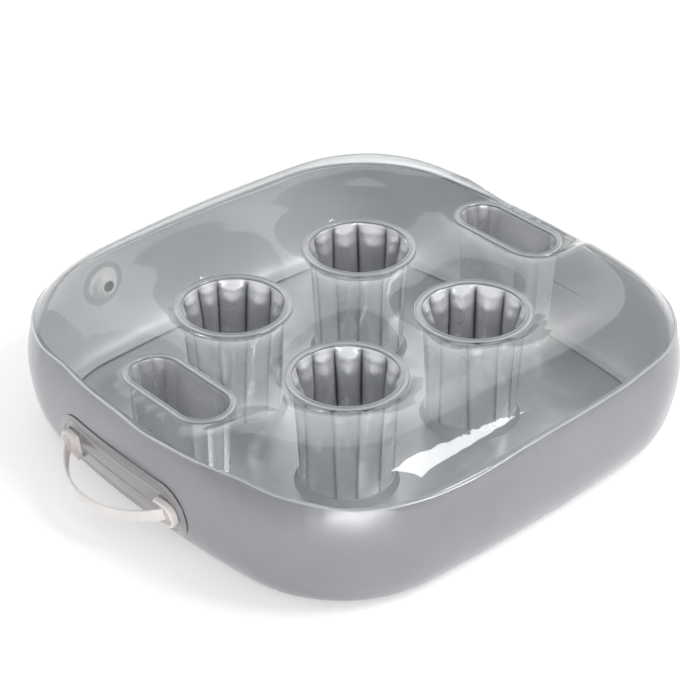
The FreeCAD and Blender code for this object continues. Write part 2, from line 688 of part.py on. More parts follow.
def make_handle_base():
    radius = size("handle_base_width") / 2
    straight = size("handle_base_length") / 2 - radius
    outer = ANCHOR_ROOT + CUT_CLEAR
    base = HANDLE_SKIN.cut(HANDLE_BACK).common(handle_prism(straight, radius, outer))
    bead_skin = tray_volume(BASE_GAUGE + size("handle_bead_rise")).cut(HANDLE_BACK)
    for count in range(2):
        bead_radius = radius - size("handle_bead_inset") - count * size("handle_bead_pitch")
        bead = handle_prism(straight, bead_radius, outer)
        bead = bead.cut(handle_prism(straight, bead_radius - size("handle_bead_width"), outer + CUT_CLEAR))
        base = base.fuse(bead_skin.common(bead))
    return base.removeSplitter()


HANDLE_BASE = make_handle_base()
STRAP_HALF_SPAN = size("strap_span") / 2
STRAP_RADIUS = (STRAP_HALF_SPAN ** 2 + size("strap_bow") ** 2) / (2 * size("strap_bow"))
STRAP_HALF_TURN = math.degrees(math.asin(STRAP_HALF_SPAN / STRAP_RADIUS))
STRAP_CHORD_X = ANCHOR_ROOT + size("strap_standoff")


def make_strap(extra):
    """A bowed band on edge, grown by extra all round for the slots that hold its ends."""
    gauge = size("strap_gauge") + 2 * extra
    width = size("strap_width") + 2 * extra
    outer = STRAP_RADIUS + gauge / 2
    inner = STRAP_RADIUS - gauge / 2
    turn = 2 * STRAP_HALF_TURN
    band = Part.makeCylinder(outer, width, Vector(0, 0, -width / 2), Vector(0, 0, 1), turn)
    band = band.cut(Part.makeCylinder(inner, width + 2, Vector(0, 0, -width / 2 - 1)))
    band.rotate(Vector(), Vector(0, 0, 1), 180 - STRAP_HALF_TURN)
    band.translate(Vector(STRAP_RADIUS - size("strap_bow"), 0, 0))
    band.rotate(Vector(), Vector(0, 1, 0), -size("strap_tilt"))
    band.translate(Vector(-STRAP_CHORD_X, HANDLE_Y, HANDLE_Z))
    return band


def make_anchor(sign):
    """An arch with its open side towards the middle of the strap, and a plate inside it."""
    centre = HANDLE_Y + sign * STRAP_HALF_SPAN
    radius = size("anchor_radius")
    neck = size("anchor_neck")
    wall = size("anchor_wall")

    def arch(reach, outer, opening):
        inner = ANCHOR_ROOT - INTO_TRAY
        cylinder = Part.makeCylinder(reach, outer - inner, Vector(-outer, centre, HANDLE_Z), Vector(1, 0, 0))
        start = centre - sign * (neck + opening)
        box = Part.makeBox(outer - inner, neck + opening, 2 * reach,
                           Vector(-outer, min(start, centre), HANDLE_Z - reach))
        return cylinder.fuse(box)

    body = arch(radius, ANCHOR_ROOT + size("anchor_rise"), 0)
    recess = arch(radius - wall, ANCHOR_ROOT + 2 * size("anchor_rise"), 5)
    recess = recess.cut(tray_volume(BASE_GAUGE + size("anchor_floor")))
    return body.cut(recess).cut(HANDLE_SKIN).cut(HANDLE_BASE).cut(make_strap(size("strap_slot_clearance"))).removeSplitter()


HANDLE_PIECES = (
    ("handle_base_", HANDLE_BASE),
    ("handle_strap_", make_strap(0.0)),
    ("strap_anchor_a_", make_anchor(1)),
    ("strap_anchor_b_", make_anchor(-1)),
)
for name, turn in (("left", 0.0), ("right", 180.0)):
    for label, shape in HANDLE_PIECES:
        piece = add_shape(label + name, shape)
        piece.Placement = Placement(Vector(), Rotation(Vector(0, 0, 1), turn)).multiply(shape.Placement)
        nodes.append(piece)

# Check every object and write each sub-part to its own file
doc.recompute()
for item in doc.Objects:
    if "Invalid" in item.State or "Error" in item.State:
        raise RuntimeError(item.Name + " is not up to date")
for node in nodes:
    if node.Shape.isNull() or not node.Shape.isValid():
        raise RuntimeError(node.Label + " has no valid shape")
    if len(node.Shape.Solids) != 1:
        raise RuntimeError("%s has %d solids" % (node.Label, len(node.Shape.Solids)))
os.makedirs("parts", exist_ok=True)
for node in nodes:
    node.Shape.exportStep("parts/" + node.Label + ".step")
    print("%-22s %8.0f mm3" % (node.Label, node.Shape.Volume))
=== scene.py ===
import math
import random

import bmesh
import bpy
import numpy as np
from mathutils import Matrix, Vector, geometry


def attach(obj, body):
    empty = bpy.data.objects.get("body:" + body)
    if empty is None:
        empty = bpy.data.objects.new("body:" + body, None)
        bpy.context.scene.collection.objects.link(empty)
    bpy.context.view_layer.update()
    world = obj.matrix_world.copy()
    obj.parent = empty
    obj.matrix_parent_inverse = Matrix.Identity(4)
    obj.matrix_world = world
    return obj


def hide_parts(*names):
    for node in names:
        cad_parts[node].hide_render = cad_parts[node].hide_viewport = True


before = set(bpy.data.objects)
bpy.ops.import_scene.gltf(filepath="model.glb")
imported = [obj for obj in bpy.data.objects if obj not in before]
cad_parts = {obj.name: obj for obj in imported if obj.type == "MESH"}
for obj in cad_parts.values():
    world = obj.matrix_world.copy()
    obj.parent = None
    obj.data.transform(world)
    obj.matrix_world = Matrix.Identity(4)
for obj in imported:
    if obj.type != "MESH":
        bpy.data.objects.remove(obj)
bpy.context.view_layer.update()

scene = bpy.context.scene
scene.view_settings.view_transform = "Standard"

# Camera: a long lens above one corner of the tray, so that the front cup and the left
# handle are nearest. The small shift gives the photograph's framing.
MM = 0.001
camera_data = bpy.data.cameras.new("camera")
camera = bpy.data.objects.new("camera", camera_data)
scene.collection.objects.link(camera)
camera_data.sensor_width = 36
camera_data.lens = 104.45
camera_data.shift_x = -0.0046
camera_data.shift_y = 0.0844
camera.location = (-0.9264, -1.0186, 0.9644)
camera.rotation_euler = (-camera.location).to_track_quat("-Z", "Y").to_euler()
camera_data.clip_start = 0.05
scene.camera = camera

# Studio: a white floor that keeps the tray's soft shadow, white walls below a grey ceiling, a
# large softbox behind the tray, one at its right that the film mirrors, and a low one in front.


def srgb(code):
    """A hex colour as the linear values that a shader takes."""
    parts = [int(code[i:i + 2], 16) / 255 for i in (0, 2, 4)]
    return tuple(p / 12.92 if p <= 0.04045 else ((p + 0.055) / 1.055) ** 2.4 for p in parts) + (1.0,)


def node(tree, kind, inputs=None, **settings):
    """Add a shader node, set its properties, then set each input or link it to a socket."""
    made = tree.nodes.new("ShaderNode" + kind)
    for key, value in settings.items():
        setattr(made, key, value)
    for key, value in (inputs or {}).items():
        if isinstance(value, bpy.types.NodeSocket):
            tree.links.new(value, made.inputs[key])
        else:
            made.inputs[key].default_value = value
    return made


def new_material(name):
    made = bpy.data.materials.new(name)
    made.use_nodes = True
    made.node_tree.nodes.clear()
    return made, made.node_tree


def rays_that_see_white(tree):
    """The light paths, and 1 for those that see the white studio: straight on, mirrored or through film."""
    path = node(tree, "LightPath")
    direct = node(tree, "Math", {0: path.outputs["Is Camera Ray"], 1: path.outputs["Is Glossy Ray"]},
                  operation="MAXIMUM")
    return path, node(tree, "Math", {0: direct.outputs[0], 1: path.outputs["Is Transmission Ray"]},
                      operation="MAXIMUM")


world = bpy.data.worlds.new("white_surround")
scene.world = world
world.use_nodes = True
tree = world.node_tree
tree.nodes.clear()
path, seen = rays_that_see_white(tree)
toward = node(tree, "TexCoord").outputs["Generated"]
up = node(tree, "SeparateXYZ", {"Vector": toward})
ceiling = node(tree, "MapRange", {"Value": up.outputs["Z"], "From Min": 0.62, "From Max": 0.86,
                                  "To Min": 1.0, "To Max": 0.8})
fill = node(tree, "Background", {"Color": srgb("FFFFFF"), "Strength": 0.55})
white = node(tree, "Background", {"Color": srgb("FFFFFF"), "Strength": ceiling.outputs[0]})
both = node(tree, "MixShader", {0: seen.outputs[0], 1: fill.outputs[0], 2: white.outputs[0]})
node(tree, "OutputWorld", {"Surface": both.outputs[0]})

bpy.ops.object.select_all(action="DESELECT")
bpy.ops.mesh.primitive_plane_add(size=12, location=(0, 0, 0))
floor = bpy.context.object
floor.name = "studio_floor"
# white card, matt: it also glows a little, more so in reflections, which whitens the low band
floor_paper, tree = new_material("white_paper")
paper = node(tree, "BsdfDiffuse", {"Color": srgb("FAFAFA")})
path, seen = rays_that_see_white(tree)
brighter = node(tree, "Math", {0: path.outputs["Is Glossy Ray"], 1: 0.28, 2: 0.35},
                operation="MULTIPLY_ADD")
glow = node(tree, "Emission", {"Color": srgb("FFFFFF"), "Strength": brighter.outputs[0]})
lit = node(tree, "AddShader", {0: paper.outputs[0], 1: glow.outputs[0]})
mixed = node(tree, "MixShader", {0: seen.outputs[0], 1: paper.outputs[0], 2: lit.outputs[0]})
node(tree, "OutputMaterial", {"Surface": mixed.outputs[0]})
floor.data.materials.append(floor_paper)

for name, place, aim, width, height, power in (
        ("back_box", (0.75, 1.65, 1.05), (0, 0, 0.05), 2.5, 1.6, 10.0),
        ("right_box", (0.66, -1.08, 1.53), (0, 0, 0.05), 0.6, 0.85, 13.0),
        ("front_box", (-1.2, -1.62, 0.24), (0, 0, 0.07), 1.4, 0.35, 11.0)):
    light_data = bpy.data.lights.new(name, "AREA")
    light_data.shape = "RECTANGLE"
    light_data.size = width
    light_data.size_y = height
    light_data.energy = power
    light = bpy.data.objects.new(name, light_data)
    scene.collection.objects.link(light)
    light.location = place
    light.rotation_euler = (Vector(aim) - Vector(place)).to_track_quat("-Z", "Y").to_euler()

# Side band: one strip of silver vinyl welded into a hoop. Air swells it past the seam, and
# its lower edge turns in under the tray, where it is welded to the bottom sheet.


def silver_vinyl(name, colour, dent_depth, roughness=0.36, flake_share=0.7, crease_shade=False):
    """Calendered PVC sheet with aluminium flake in it: a soft metallic sheen under a clear skin, and
    broad dents where air doesn't fill it. Its flake is finer than a pixel, so the grain is drawn
    1.4 mm wide. With crease_shade, shade in the creases is painted in: the sheet is darker there."""
    made, tree = new_material(name)
    place = node(tree, "TexCoord").outputs["Object"]
    flake = node(tree, "TexNoise", {"Vector": place, "Scale": 1 / (1.4 * MM), "Detail": 2.0})
    cloud = node(tree, "TexNoise", {"Vector": place, "Scale": 1 / (60 * MM), "Detail": 3.0})
    tone = node(tree, "MapRange", {"Value": cloud.outputs["Fac"], "From Min": 0.3, "From Max": 0.7,
                                   "To Min": 0.93, "To Max": 1.05})
    speck = node(tree, "MapRange", {"Value": flake.outputs["Fac"], "From Min": 0.3, "From Max": 0.7,
                                    "To Min": 0.97, "To Max": 1.03})
    shade = node(tree, "Math", {0: tone.outputs[0], 1: speck.outputs[0]}, operation="MULTIPLY")
    # painted shade: towards each crease the colour darkens, where shade falls in the folds
    if crease_shade:
        crease = node(tree, "Attribute", attribute_name="crease")
        painted_crease_shade = node(tree, "MapRange", {"Value": crease.outputs["Fac"], "To Min": 1.0, "To Max": 0.3})
        shade = node(tree, "Math", {0: shade.outputs[0], 1: painted_crease_shade.outputs[0]}, operation="MULTIPLY")
    tint = node(tree, "VectorMath", {0: srgb(colour)[:3], "Scale": shade.outputs[0]},
                operation="SCALE")
    rough = node(tree, "MapRange", {"Value": cloud.outputs["Fac"], "From Min": 0.3, "From Max": 0.7,
                                    "To Min": roughness - 0.04, "To Max": roughness + 0.05})
    dents = node(tree, "TexNoise", {"Vector": place, "Scale": 1 / (45 * MM), "Detail": 1.5})
    grain = node(tree, "Bump", {"Height": flake.outputs["Fac"], "Strength": 0.12, "Distance": 0.1 * MM})
    swell = node(tree, "Bump", {"Height": dents.outputs["Fac"], "Strength": 1.0,
                                "Distance": dent_depth * MM, "Normal": grain.outputs[0]})
    skin = node(tree, "BsdfPrincipled",
                {"Base Color": tint.outputs[0], "Metallic": flake_share, "Roughness": rough.outputs[0],
                 "Coat Weight": 0.25, "Coat Roughness": 0.16, "Normal": swell.outputs[0]})
    node(tree, "OutputMaterial", {"Surface": skin.outputs[0]})
    return made


HALF_LENGTH, HALF_WIDTH = 221.5, 216.0
END_RADIUS, SIDE_RADIUS, CORNER_RADIUS = 900.0, 1700.0, 110.0
END_CENTRE = Vector((HALF_LENGTH - END_RADIUS, 0))
SIDE_CENTRE = Vector((0, HALF_WIDTH - SIDE_RADIUS))
SEAM, WIDEST, BULGE, TURN_IN = 92.0, 59.0, 6.7, 21.7
BAND_BOTTOM, BAND_SHEET = 0.6, 0.55
UPPER_RADIUS = (BULGE ** 2 + (SEAM - WIDEST) ** 2) / (2 * BULGE)
FLANGE, LAP = 4.0, 20.0

to_end, to_side = END_RADIUS - CORNER_RADIUS, SIDE_RADIUS - CORNER_RADIUS
between = SIDE_CENTRE - END_CENTRE
along = (to_end ** 2 - to_side ** 2 + between.length ** 2) / (2 * between.length)
aside = math.sqrt(to_end ** 2 - along ** 2)
unit = between.normalized()
CORNER_CENTRE = END_CENTRE + unit * along + Vector((-unit.y, unit.x)) * aside
END_TURN = math.atan2(CORNER_CENTRE.y - END_CENTRE.y, CORNER_CENTRE.x - END_CENTRE.x)
SIDE_TURN = math.atan2(CORNER_CENTRE.y - SIDE_CENTRE.y, CORNER_CENTRE.x - SIDE_CENTRE.x)


def outline(offset, end_steps, corner_steps, side_steps):
    """The seam outline moved outwards, as points in order round the tray, from the middle of +X."""
    quarter = []
    for centre, radius, first, last, steps in (
            (END_CENTRE, END_RADIUS, 0.0, END_TURN, end_steps),
            (CORNER_CENTRE, CORNER_RADIUS, END_TURN, SIDE_TURN, corner_steps),
            (SIDE_CENTRE, SIDE_RADIUS, SIDE_TURN, math.pi / 2, side_steps)):
        for step in range(steps):
            turn = first + (last - first) * step / steps
            quarter.append(centre + Vector((math.cos(turn), math.sin(turn))) * (radius + offset))
    quarter.append(Vector((0, HALF_WIDTH + offset)))
    half = quarter + [Vector((-p.x, p.y)) for p in reversed(quarter[:-1])]
    return half + [Vector((p.x, -p.y)) for p in reversed(half[1:-1])]


# The seam isn't quite true: air and creases pull it in and up at one corner and out beside it.
# Each pull is a place, how far in and up it goes there, and how wide it is.
PULL_SPREAD = 0.62
SEAM_PULLS = (
    ((-206, -118), 5.0, 4.2, 46),
    ((-186, -160), 2.6, 2.0, 26),
    ((-84, -219), -2.2, -2.6, 52),
    ((122, -207), 1.6, 1.8, 30),
    ((-214, 96), 1.5, 1.0, 26),
    ((-223, -14), -1.4, -0.8, 24),
    ((206, 120), 3.0, 2.4, 44),
    ((88, 218), -2.0, -2.2, 50),
    ((-150, 200), 2.2, 1.6, 34),
)


def seam_pull(point):
    """How far the seam is pulled in and up at a place."""
    inward = lift = 0.0
    for place, pulled_in, raised, width in SEAM_PULLS:
        away = (point.x - place[0]) ** 2 + (point.y - place[1]) ** 2
        share = math.exp(-away / (2 * (width * PULL_SPREAD) ** 2))
        inward += pulled_in * share
        lift += raised * share
    return inward, lift


def band_profile(steps_up, steps_down):
    """Offset, height and outward normal down the band, from the seam to the bottom weld."""
    stations = []
    rise = math.asin((SEAM - WIDEST) / UPPER_RADIUS)
    for step in range(steps_up):
        turn = rise * (1 - step / steps_up)
        stations.append((BULGE - UPPER_RADIUS * (1 - math.cos(turn)), WIDEST + UPPER_RADIUS * math.sin(turn),
                         math.cos(turn), math.sin(turn)))
    drop = WIDEST - BAND_BOTTOM
    for step in range(steps_down + 1):
        turn = math.pi / 2 * step / steps_down
        normal = Vector((drop * math.cos(turn), -TURN_IN * math.sin(turn))).normalized()
        stations.append((BULGE - TURN_IN * (1 - math.cos(turn)), WIDEST - drop * math.sin(turn),
                         normal.x, normal.y))
    return stations


def smooth_step(share):
    share = min(1.0, max(0.0, share))
    return share * share * (3 - 2 * share)


# A pucker's place along the weld, depth, width, reach over the band, and whether it is at the
# seam or at the bottom weld. A wave's count round the tray, start, count up the band and phase.
PUCKER_COUNT, WAVE_COUNT, WAVE_HEIGHT = 64, 7, 0.16
random.seed(7)
coarse = outline(0, 8, 16, 8)
AROUND = sum((a - b).length for a, b in zip(coarse, coarse[1:]))
PUCKERS = []
for index in range(PUCKER_COUNT):
    PUCKERS.append((random.random() * AROUND, random.choice((-1, 1)) * random.uniform(0.15, 0.5),
                    random.uniform(2.5, 6.0), random.uniform(7, 22), random.random() < 0.5))
WAVES = [(random.uniform(2, 9), random.random() * 6.28, random.uniform(0.6, 2.2), random.random() * 6.28)
         for index in range(WAVE_COUNT)]
HANDLE_Y, PLATE_HALF, PLATE_FADE = 15.0, 78.0, 30.0


def band_dent(travel, height, point):
    """How far the band stands proud of its true form: puckers at the welds and slow waves between."""
    out = 0.0
    below_seam = SEAM - height
    for place, depth, width, reach, at_seam in PUCKERS:
        gap = abs(travel - place)
        gap = min(gap, AROUND - gap)
        if gap < 3 * width:
            fade = math.exp(-(below_seam if at_seam else height) / reach)
            out += depth * math.exp(-gap ** 2 / (2 * width ** 2)) * fade
    turn = 2 * math.pi * travel / AROUND
    middle = math.sin(math.pi * min(1.0, max(0.0, height / SEAM)))
    for count, start, upright, phase in WAVES:
        out += WAVE_HEIGHT * math.sin(count * turn + start) * math.cos(upright * height / 20 + phase) * middle
    if abs(point.x) > 190:  # the welded handle plate keeps the ends smooth
        to_handle = abs(point.y - math.copysign(HANDLE_Y, -point.x))
        out *= 1 - 0.97 * (1 - smooth_step((to_handle - PLATE_HALF) / PLATE_FADE))
    return out


def loft(name, loops):
    """A piece drawn out loop by loop: a circle of edges, extruded once for each next loop and set to it."""
    bpy.ops.object.select_all(action="DESELECT")
    bpy.ops.mesh.primitive_circle_add(vertices=len(loops[0]), radius=1, fill_type="NOTHING")
    piece = bpy.context.object
    piece.name = name
    piece.data.name = name
    bpy.ops.object.mode_set(mode="EDIT")
    bpy.ops.mesh.select_all(action="SELECT")
    for loop in loops[1:]:
        bpy.ops.mesh.extrude_edges_move()
    bpy.ops.object.mode_set(mode="OBJECT")
    places = [coordinate * MM for loop in loops for point in loop for coordinate in point]
    piece.data.vertices.foreach_set("co", places)
    piece.data.update()
    return piece


def finish_surface(piece, material, sheet=0.0, offset=-1.0, smooth_angle=35, flip=False, inside=None):
    """Merge doubles, point faces outwards, dress both faces, give the sheet its thickness and shade it."""
    bpy.ops.object.select_all(action="DESELECT")
    piece.select_set(True)
    bpy.context.view_layer.objects.active = piece
    bpy.ops.object.mode_set(mode="EDIT")
    bpy.ops.mesh.select_all(action="SELECT")
    bpy.ops.mesh.remove_doubles(threshold=0.002 * MM)
    bpy.ops.mesh.normals_make_consistent(inside=flip)
    bpy.ops.object.mode_set(mode="OBJECT")
    piece.data.materials.clear()
    piece.data.materials.append(material)
    if inside:
        piece.data.materials.append(inside)
    if sheet:
        thick = piece.modifiers.new("sheet", "SOLIDIFY")
        thick.thickness = sheet * MM
        thick.offset = offset
        thick.material_offset = 1 if inside else 0
        bpy.ops.object.modifier_apply(modifier=thick.name)
    bpy.ops.object.shade_smooth_by_angle(angle=math.radians(smooth_angle))


band_steps = (44, 60, 44)
seam_line = outline(0, *band_steps)
travel = [0.0]  # how far round the tray each point of the seam lies
for a, b in zip(seam_line, seam_line[1:]):
    travel.append(travel[-1] + (b - a).length)
loops = []
flange = outline(-FLANGE, *band_steps)
loops.append([Vector((p.x, p.y, SEAM - BAND_BOTTOM + seam_pull(q)[1])) for p, q in zip(flange, seam_line)])
for offset, height, out_x, out_z in band_profile(12, 26):
    wide = outline(offset, *band_steps)
    wider = outline(offset + 1, *band_steps)
    loop = []
    near_seam = math.exp(-(SEAM - height) / 20)
    for point, beyond, seam_point, gone in zip(wide, wider, seam_line, travel):
        out = (beyond - point).normalized()
        inward, lift = seam_pull(seam_point)
        dent = band_dent(gone, height, point) if height < SEAM - 0.1 else 0.0
        reach = dent * out_x - inward * near_seam
        loop.append(Vector((point.x + out.x * reach, point.y + out.y * reach,
                            height - (0.15 if height == SEAM else 0.0) + dent * out_z + lift * near_seam)))
    loops.append(loop)
lap = outline(-LAP, *band_steps)
loops.append([Vector((p.x, p.y, BAND_BOTTOM)) for p in lap])
band = loft("inflated_side_band", loops)
# the outside is metallic; the strip's back, which the film shows as the walls, is a paler, less metallic copy
# of the vinyl: painted light that brightens those walls
band_vinyl = silver_vinyl("silver_pvc_band", "8A8B8F", 0.9, 0.31)
band_inside_painted_light = silver_vinyl("silver_pvc_band_inside_painted_light", "DCDDE1", 0.9, 0.45, 0.25)
finish_surface(band, band_vinyl, sheet=BAND_SHEET, smooth_angle=60, inside=band_inside_painted_light)
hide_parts("side_band")
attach(band, "root")

# Bottom sheet and pocket floors: flat silver vinyl, drawn up under each pocket. They keep the
# CAD shape. The inside of the sheet shows through the film as the tray's floor.
bottom_vinyl = silver_vinyl("silver_pvc_bottom", "BCBDC1", 3.0, 0.34)
# the pocket floors are a lighter copy of the bottom sheet's vinyl: painted light against the shade under each
# sleeve
lightened_pocket_floor_vinyl = silver_vinyl("silver_pvc_pocket_floor", "CCCDD0", 1.5, 0.45, 0.35)


def dress_cad(cad_name, finish):
    """Dress a CAD piece that is shown as it is."""
    cad_piece = bpy.data.objects[cad_name]
    cad_piece.data.materials.clear()
    cad_piece.data.materials.append(finish)


dress_cad("bottom_panel", bottom_vinyl)
for cad_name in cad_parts:
    if "_floor_" in cad_name:
        dress_cad(cad_name, lightened_pocket_floor_vinyl)

# Bottom weld: the free edge of the band's lap, a fine dark line round the tray's floor. The
# sheet is cut there; its edge is drawn darker and duller, as painted shade along the step where the lap ends.


def plain_vinyl(name, colour, grain, dents, skin, clouds=None):
    """Vinyl without flake. Grain is its size and detail, dents their strength and depth, and
    clouds their size and the two tones between which the colour drifts."""
    made, tree = new_material(name)
    place = node(tree, "TexCoord").outputs["Object"]
    fine = node(tree, "TexNoise", {"Vector": place, "Scale": 1 / (grain[0] * MM), "Detail": grain[1]})
    bump = node(tree, "Bump", {"Height": fine.outputs["Fac"], "Strength": dents[0],
                               "Distance": dents[1] * MM})
    tint = srgb(colour)
    if clouds:
        cloud = node(tree, "TexNoise", {"Vector": place, "Scale": 1 / (clouds[0] * MM), "Detail": 3.0})
        tone = node(tree, "MapRange", {"Value": cloud.outputs["Fac"], "From Min": 0.3, "From Max": 0.7,
                                       "To Min": clouds[1], "To Max": clouds[2]})
        tint = node(tree, "VectorMath", {0: tint[:3], "Scale": tone.outputs[0]},
                    operation="SCALE").outputs[0]
    lit = node(tree, "BsdfPrincipled", {"Base Color": tint, "Normal": bump.outputs[0], **skin})
    node(tree, "OutputMaterial", {"Surface": lit.outputs[0]})
    return made


lap_edge_shade_vinyl = plain_vinyl("silver_pvc_lap_edge_painted_shade", "7E8084", (4, 2.0), (0.4, 0.1),
                        {"Metallic": 0.4, "Roughness": 0.4})
loops = []
for across, up in ((0.7, 0.0), (0.5, 0.55), (0.0, 0.8), (-0.5, 0.55), (-0.7, 0.0), (0.7, 0.0)):
    ring = outline(-LAP - 0.2 + across, *band_steps)
    loops.append([Vector((p.x, p.y, BAND_BOTTOM + 0.45 + up)) for p in ring])
lap_edge = loft("bottom_lap_edge", loops)
finish_surface(lap_edge, lap_edge_shade_vinyl, smooth_angle=70)
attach(lap_edge, "root")

# Cup pockets: sleeves of silver vinyl, welded to the film round the rim and to a round floor.
# Air swells them inwards between creases, and the creases wander as they go down.
CUP_X, CUP_Y = 68.4, 67.8
CUP_OPENING = 42.0
DECK, POCKET_FLOOR = 98.0, 8.0
CUPS = (("left", -1, 1), ("front", -1, -1), ("right", 1, -1), ("rear", 1, 1))
PLEATS, PANEL_STEPS = 12, 14
POCKET_SHEET, UNDER_FILM, OVER_FLOOR = 0.4, 0.15, 0.3


def blend_stations(stations, share):
    """Values at a share of the depth, eased between the stations on each side."""
    for before, after in zip(stations, stations[1:]):
        if share <= after[0]:
            part = (share - before[0]) / (after[0] - before[0])
            eased = smooth_step(part) * 0.5 + part * 0.5
            return [a + (b - a) * eased for a, b in zip(before[1:], after[1:])]
    return list(stations[-1][1:])


# share of the depth, radius at a crease, radius in the middle of a panel
CUP_STATIONS = (
    (0.0, 42.0, 42.0), (0.02, 42.0, 41.2), (0.09, 41.8, 38.4), (0.22, 41.0, 35.2), (0.36, 40.2, 33.8),
    (0.47, 39.6, 34.2), (0.6, 39.0, 35.8), (0.8, 38.2, 36.3), (1.0, 37.5, 36.8))


def cup_loops(seed, first_turn):
    """Loops down a cup pocket, from the flange's outer edge to its foot."""
    chance = random.Random(seed)
    starts = [first_turn + (i + chance.uniform(-0.16, 0.16)) / PLEATS for i in range(PLEATS)]
    drifts = [chance.uniform(-0.22, 0.22) / PLEATS for i in range(PLEATS)]
    fulls = [chance.uniform(0.82, 1.18) for i in range(PLEATS)]
    waists = [chance.uniform(-0.035, 0.035) for i in range(PLEATS)]
    count = PLEATS * PANEL_STEPS
    top, bottom = DECK - UNDER_FILM, POCKET_FLOOR + OVER_FLOOR
    loops = []
    turns = [2 * math.pi * (i / count + first_turn) for i in range(count)]
    for radius, height in ((47.8, top), (45.0, top), (42.9, top), (42.3, top - 0.15)):
        loops.append([Vector((radius * math.cos(turn), radius * math.sin(turn), height)) for turn in turns])
    rows = 46
    for row in range(1, rows + 1):
        share = (row / rows) ** 1.12  # the loops stand closer near the rim
        height = top - 0.3 - (top - 0.3 - bottom) * share
        loop = []
        for panel in range(PLEATS):
            following = (panel + 1) % PLEATS
            begin = starts[panel] + drifts[panel] * share
            end = starts[following] + drifts[following] * share + (1 if following == 0 else 0)
            along = share + waists[panel] * 4 * share * (1 - share)
            crease, middle = blend_stations(CUP_STATIONS, min(1.0, max(0.0, along)))
            depth = (crease - middle) * fulls[panel]
            for step in range(PANEL_STEPS):
                part = step / PANEL_STEPS
                across = abs(2 * part - 1)
                radius = crease - depth * (1 - across ** 2.8)
                radius -= 0.25 * depth * math.exp(-((part - 0.5) / 0.2) ** 2)  # fullest in the middle
                turn = 2 * math.pi * (begin + (end - begin) * part)
                loop.append(Vector((radius * math.cos(turn), radius * math.sin(turn), height)))
        loops.append(loop)
    for radius_share, height in ((0.97, bottom), (0.84, bottom)):
        loops.append([Vector((p.x * radius_share, p.y * radius_share, height)) for p in loops[-1]])
    return loops


def mark_crease_shade(piece, count, rows_above, sharpness):
    """Keep how near each point lies to a crease, for the painted shade that darkens the vinyl there."""
    crease_shade = piece.data.attributes.new("crease", "FLOAT", "POINT")
    values = []
    for index in range(len(piece.data.vertices)):
        row, place = divmod(index, count * PANEL_STEPS)
        across = abs(2 * (place % PANEL_STEPS) / PANEL_STEPS - 1)
        values.append(across ** sharpness * smooth_step((row - rows_above) / 3))
    crease_shade.data.foreach_set("value", values)


# the cup sleeves carry painted shade along their creases
cup_vinyl = silver_vinyl("silver_pvc_cup_pockets", "E6E7EA", 0.4, 0.27, 0.68, crease_shade=True)
first_turns = (0.012, 0.0, 0.03, 0.05)
for index, (name, side_x, side_y) in enumerate(CUPS):
    centre = Vector((side_x * CUP_X, side_y * CUP_Y, 0))
    loops = [[point + centre for point in loop] for loop in cup_loops(11 + index, first_turns[index])]
    sleeve = loft("pleated_cup_pocket_" + name, loops)
    mark_crease_shade(sleeve, PLEATS, rows_above=4, sharpness=10)
    finish_surface(sleeve, cup_vinyl, sheet=POCKET_SHEET, offset=0.0, smooth_angle=38, flip=True)
    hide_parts("cup_sleeve_" + name)
    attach(sleeve, "root")

# Phone pockets: longer sleeves of the same sheet. Their long walls are pressed in smooth, and
# what is gathered at the round ends stands in narrow pleats.
PHONE_X, PHONE_RIM_Z = 177.0, 102.5
PHONE_RADIUS, PHONE_STRAIGHT = 20.5, 28.5
PHONE_PLEATS, PHONE_DRAW = 6, 2.5


def stadium(radius, straight, end_steps, side_steps):
    """Points round a stadium along Y with their outward normals, from the start of the +Y end."""
    made = []
    for sign in (1, -1):
        for step in range(end_steps):
            turn = math.pi * step / end_steps + (0 if sign > 0 else math.pi)
            normal = Vector((math.cos(turn), math.sin(turn)))
            made.append((Vector((0, sign * straight)) + normal * radius, normal))
        for step in range(side_steps):
            part = step / side_steps
            normal = Vector((-sign, 0))
            made.append((Vector((-sign * radius, sign * straight * (1 - 2 * part))), normal))
    return made


def phone_loops(seed):
    """Loops down a phone pocket, from the flange's outer edge to its foot."""
    chance = random.Random(seed)
    end_steps, side_steps = 84, 56
    top, bottom = PHONE_RIM_Z - UNDER_FILM, POCKET_FLOOR + OVER_FLOOR
    loops = []
    for radius, height in ((25.2, top), (23.0, top), (21.2, top), (20.8, top - 0.15)):
        ring = stadium(radius, PHONE_STRAIGHT, end_steps, side_steps)
        loops.append([Vector((p.x, p.y, height)) for p, n in ring])
    pleats = [[chance.uniform(0.7, 1.3) for i in range(PHONE_PLEATS)] for end in range(2)]
    rows = 44
    for row in range(1, rows + 1):
        share = (row / rows) ** 1.1
        height = top - 0.3 - (top - 0.3 - bottom) * share
        draw = PHONE_DRAW * smooth_step(share * 1.1)
        full = min(1.0, share / 0.12) * (1 - 0.35 * share)
        loop = []
        base = stadium(PHONE_RADIUS - draw, PHONE_STRAIGHT, end_steps, side_steps)
        for index, (point, normal) in enumerate(base):
            part = index % (end_steps + side_steps)
            if part < end_steps:
                place = part / end_steps * PHONE_PLEATS
                which = min(PHONE_PLEATS - 1, int(place))
                across = abs(2 * (place - which) - 1)
                end = index // (end_steps + side_steps)
                inward = 2.3 * pleats[end][which] * (1 - across ** 2.0) * full
            else:
                bow = math.sin(math.pi * (part - end_steps) / side_steps)
                inward = 5.2 * bow ** 0.8 * smooth_step(share / 0.45)
                inward += 0.9 * smooth_step(share / 0.2) * bow ** 0.5
            loop.append(Vector((point.x - normal.x * inward, point.y - normal.y * inward, height)))
        loops.append(loop)
    for shrink in (1.0, 5.0):
        inner = stadium(PHONE_RADIUS - PHONE_DRAW - shrink, PHONE_STRAIGHT, end_steps, side_steps)
        loops.append([Vector((p.x, p.y, bottom)) for p, n in inner])
    return loops


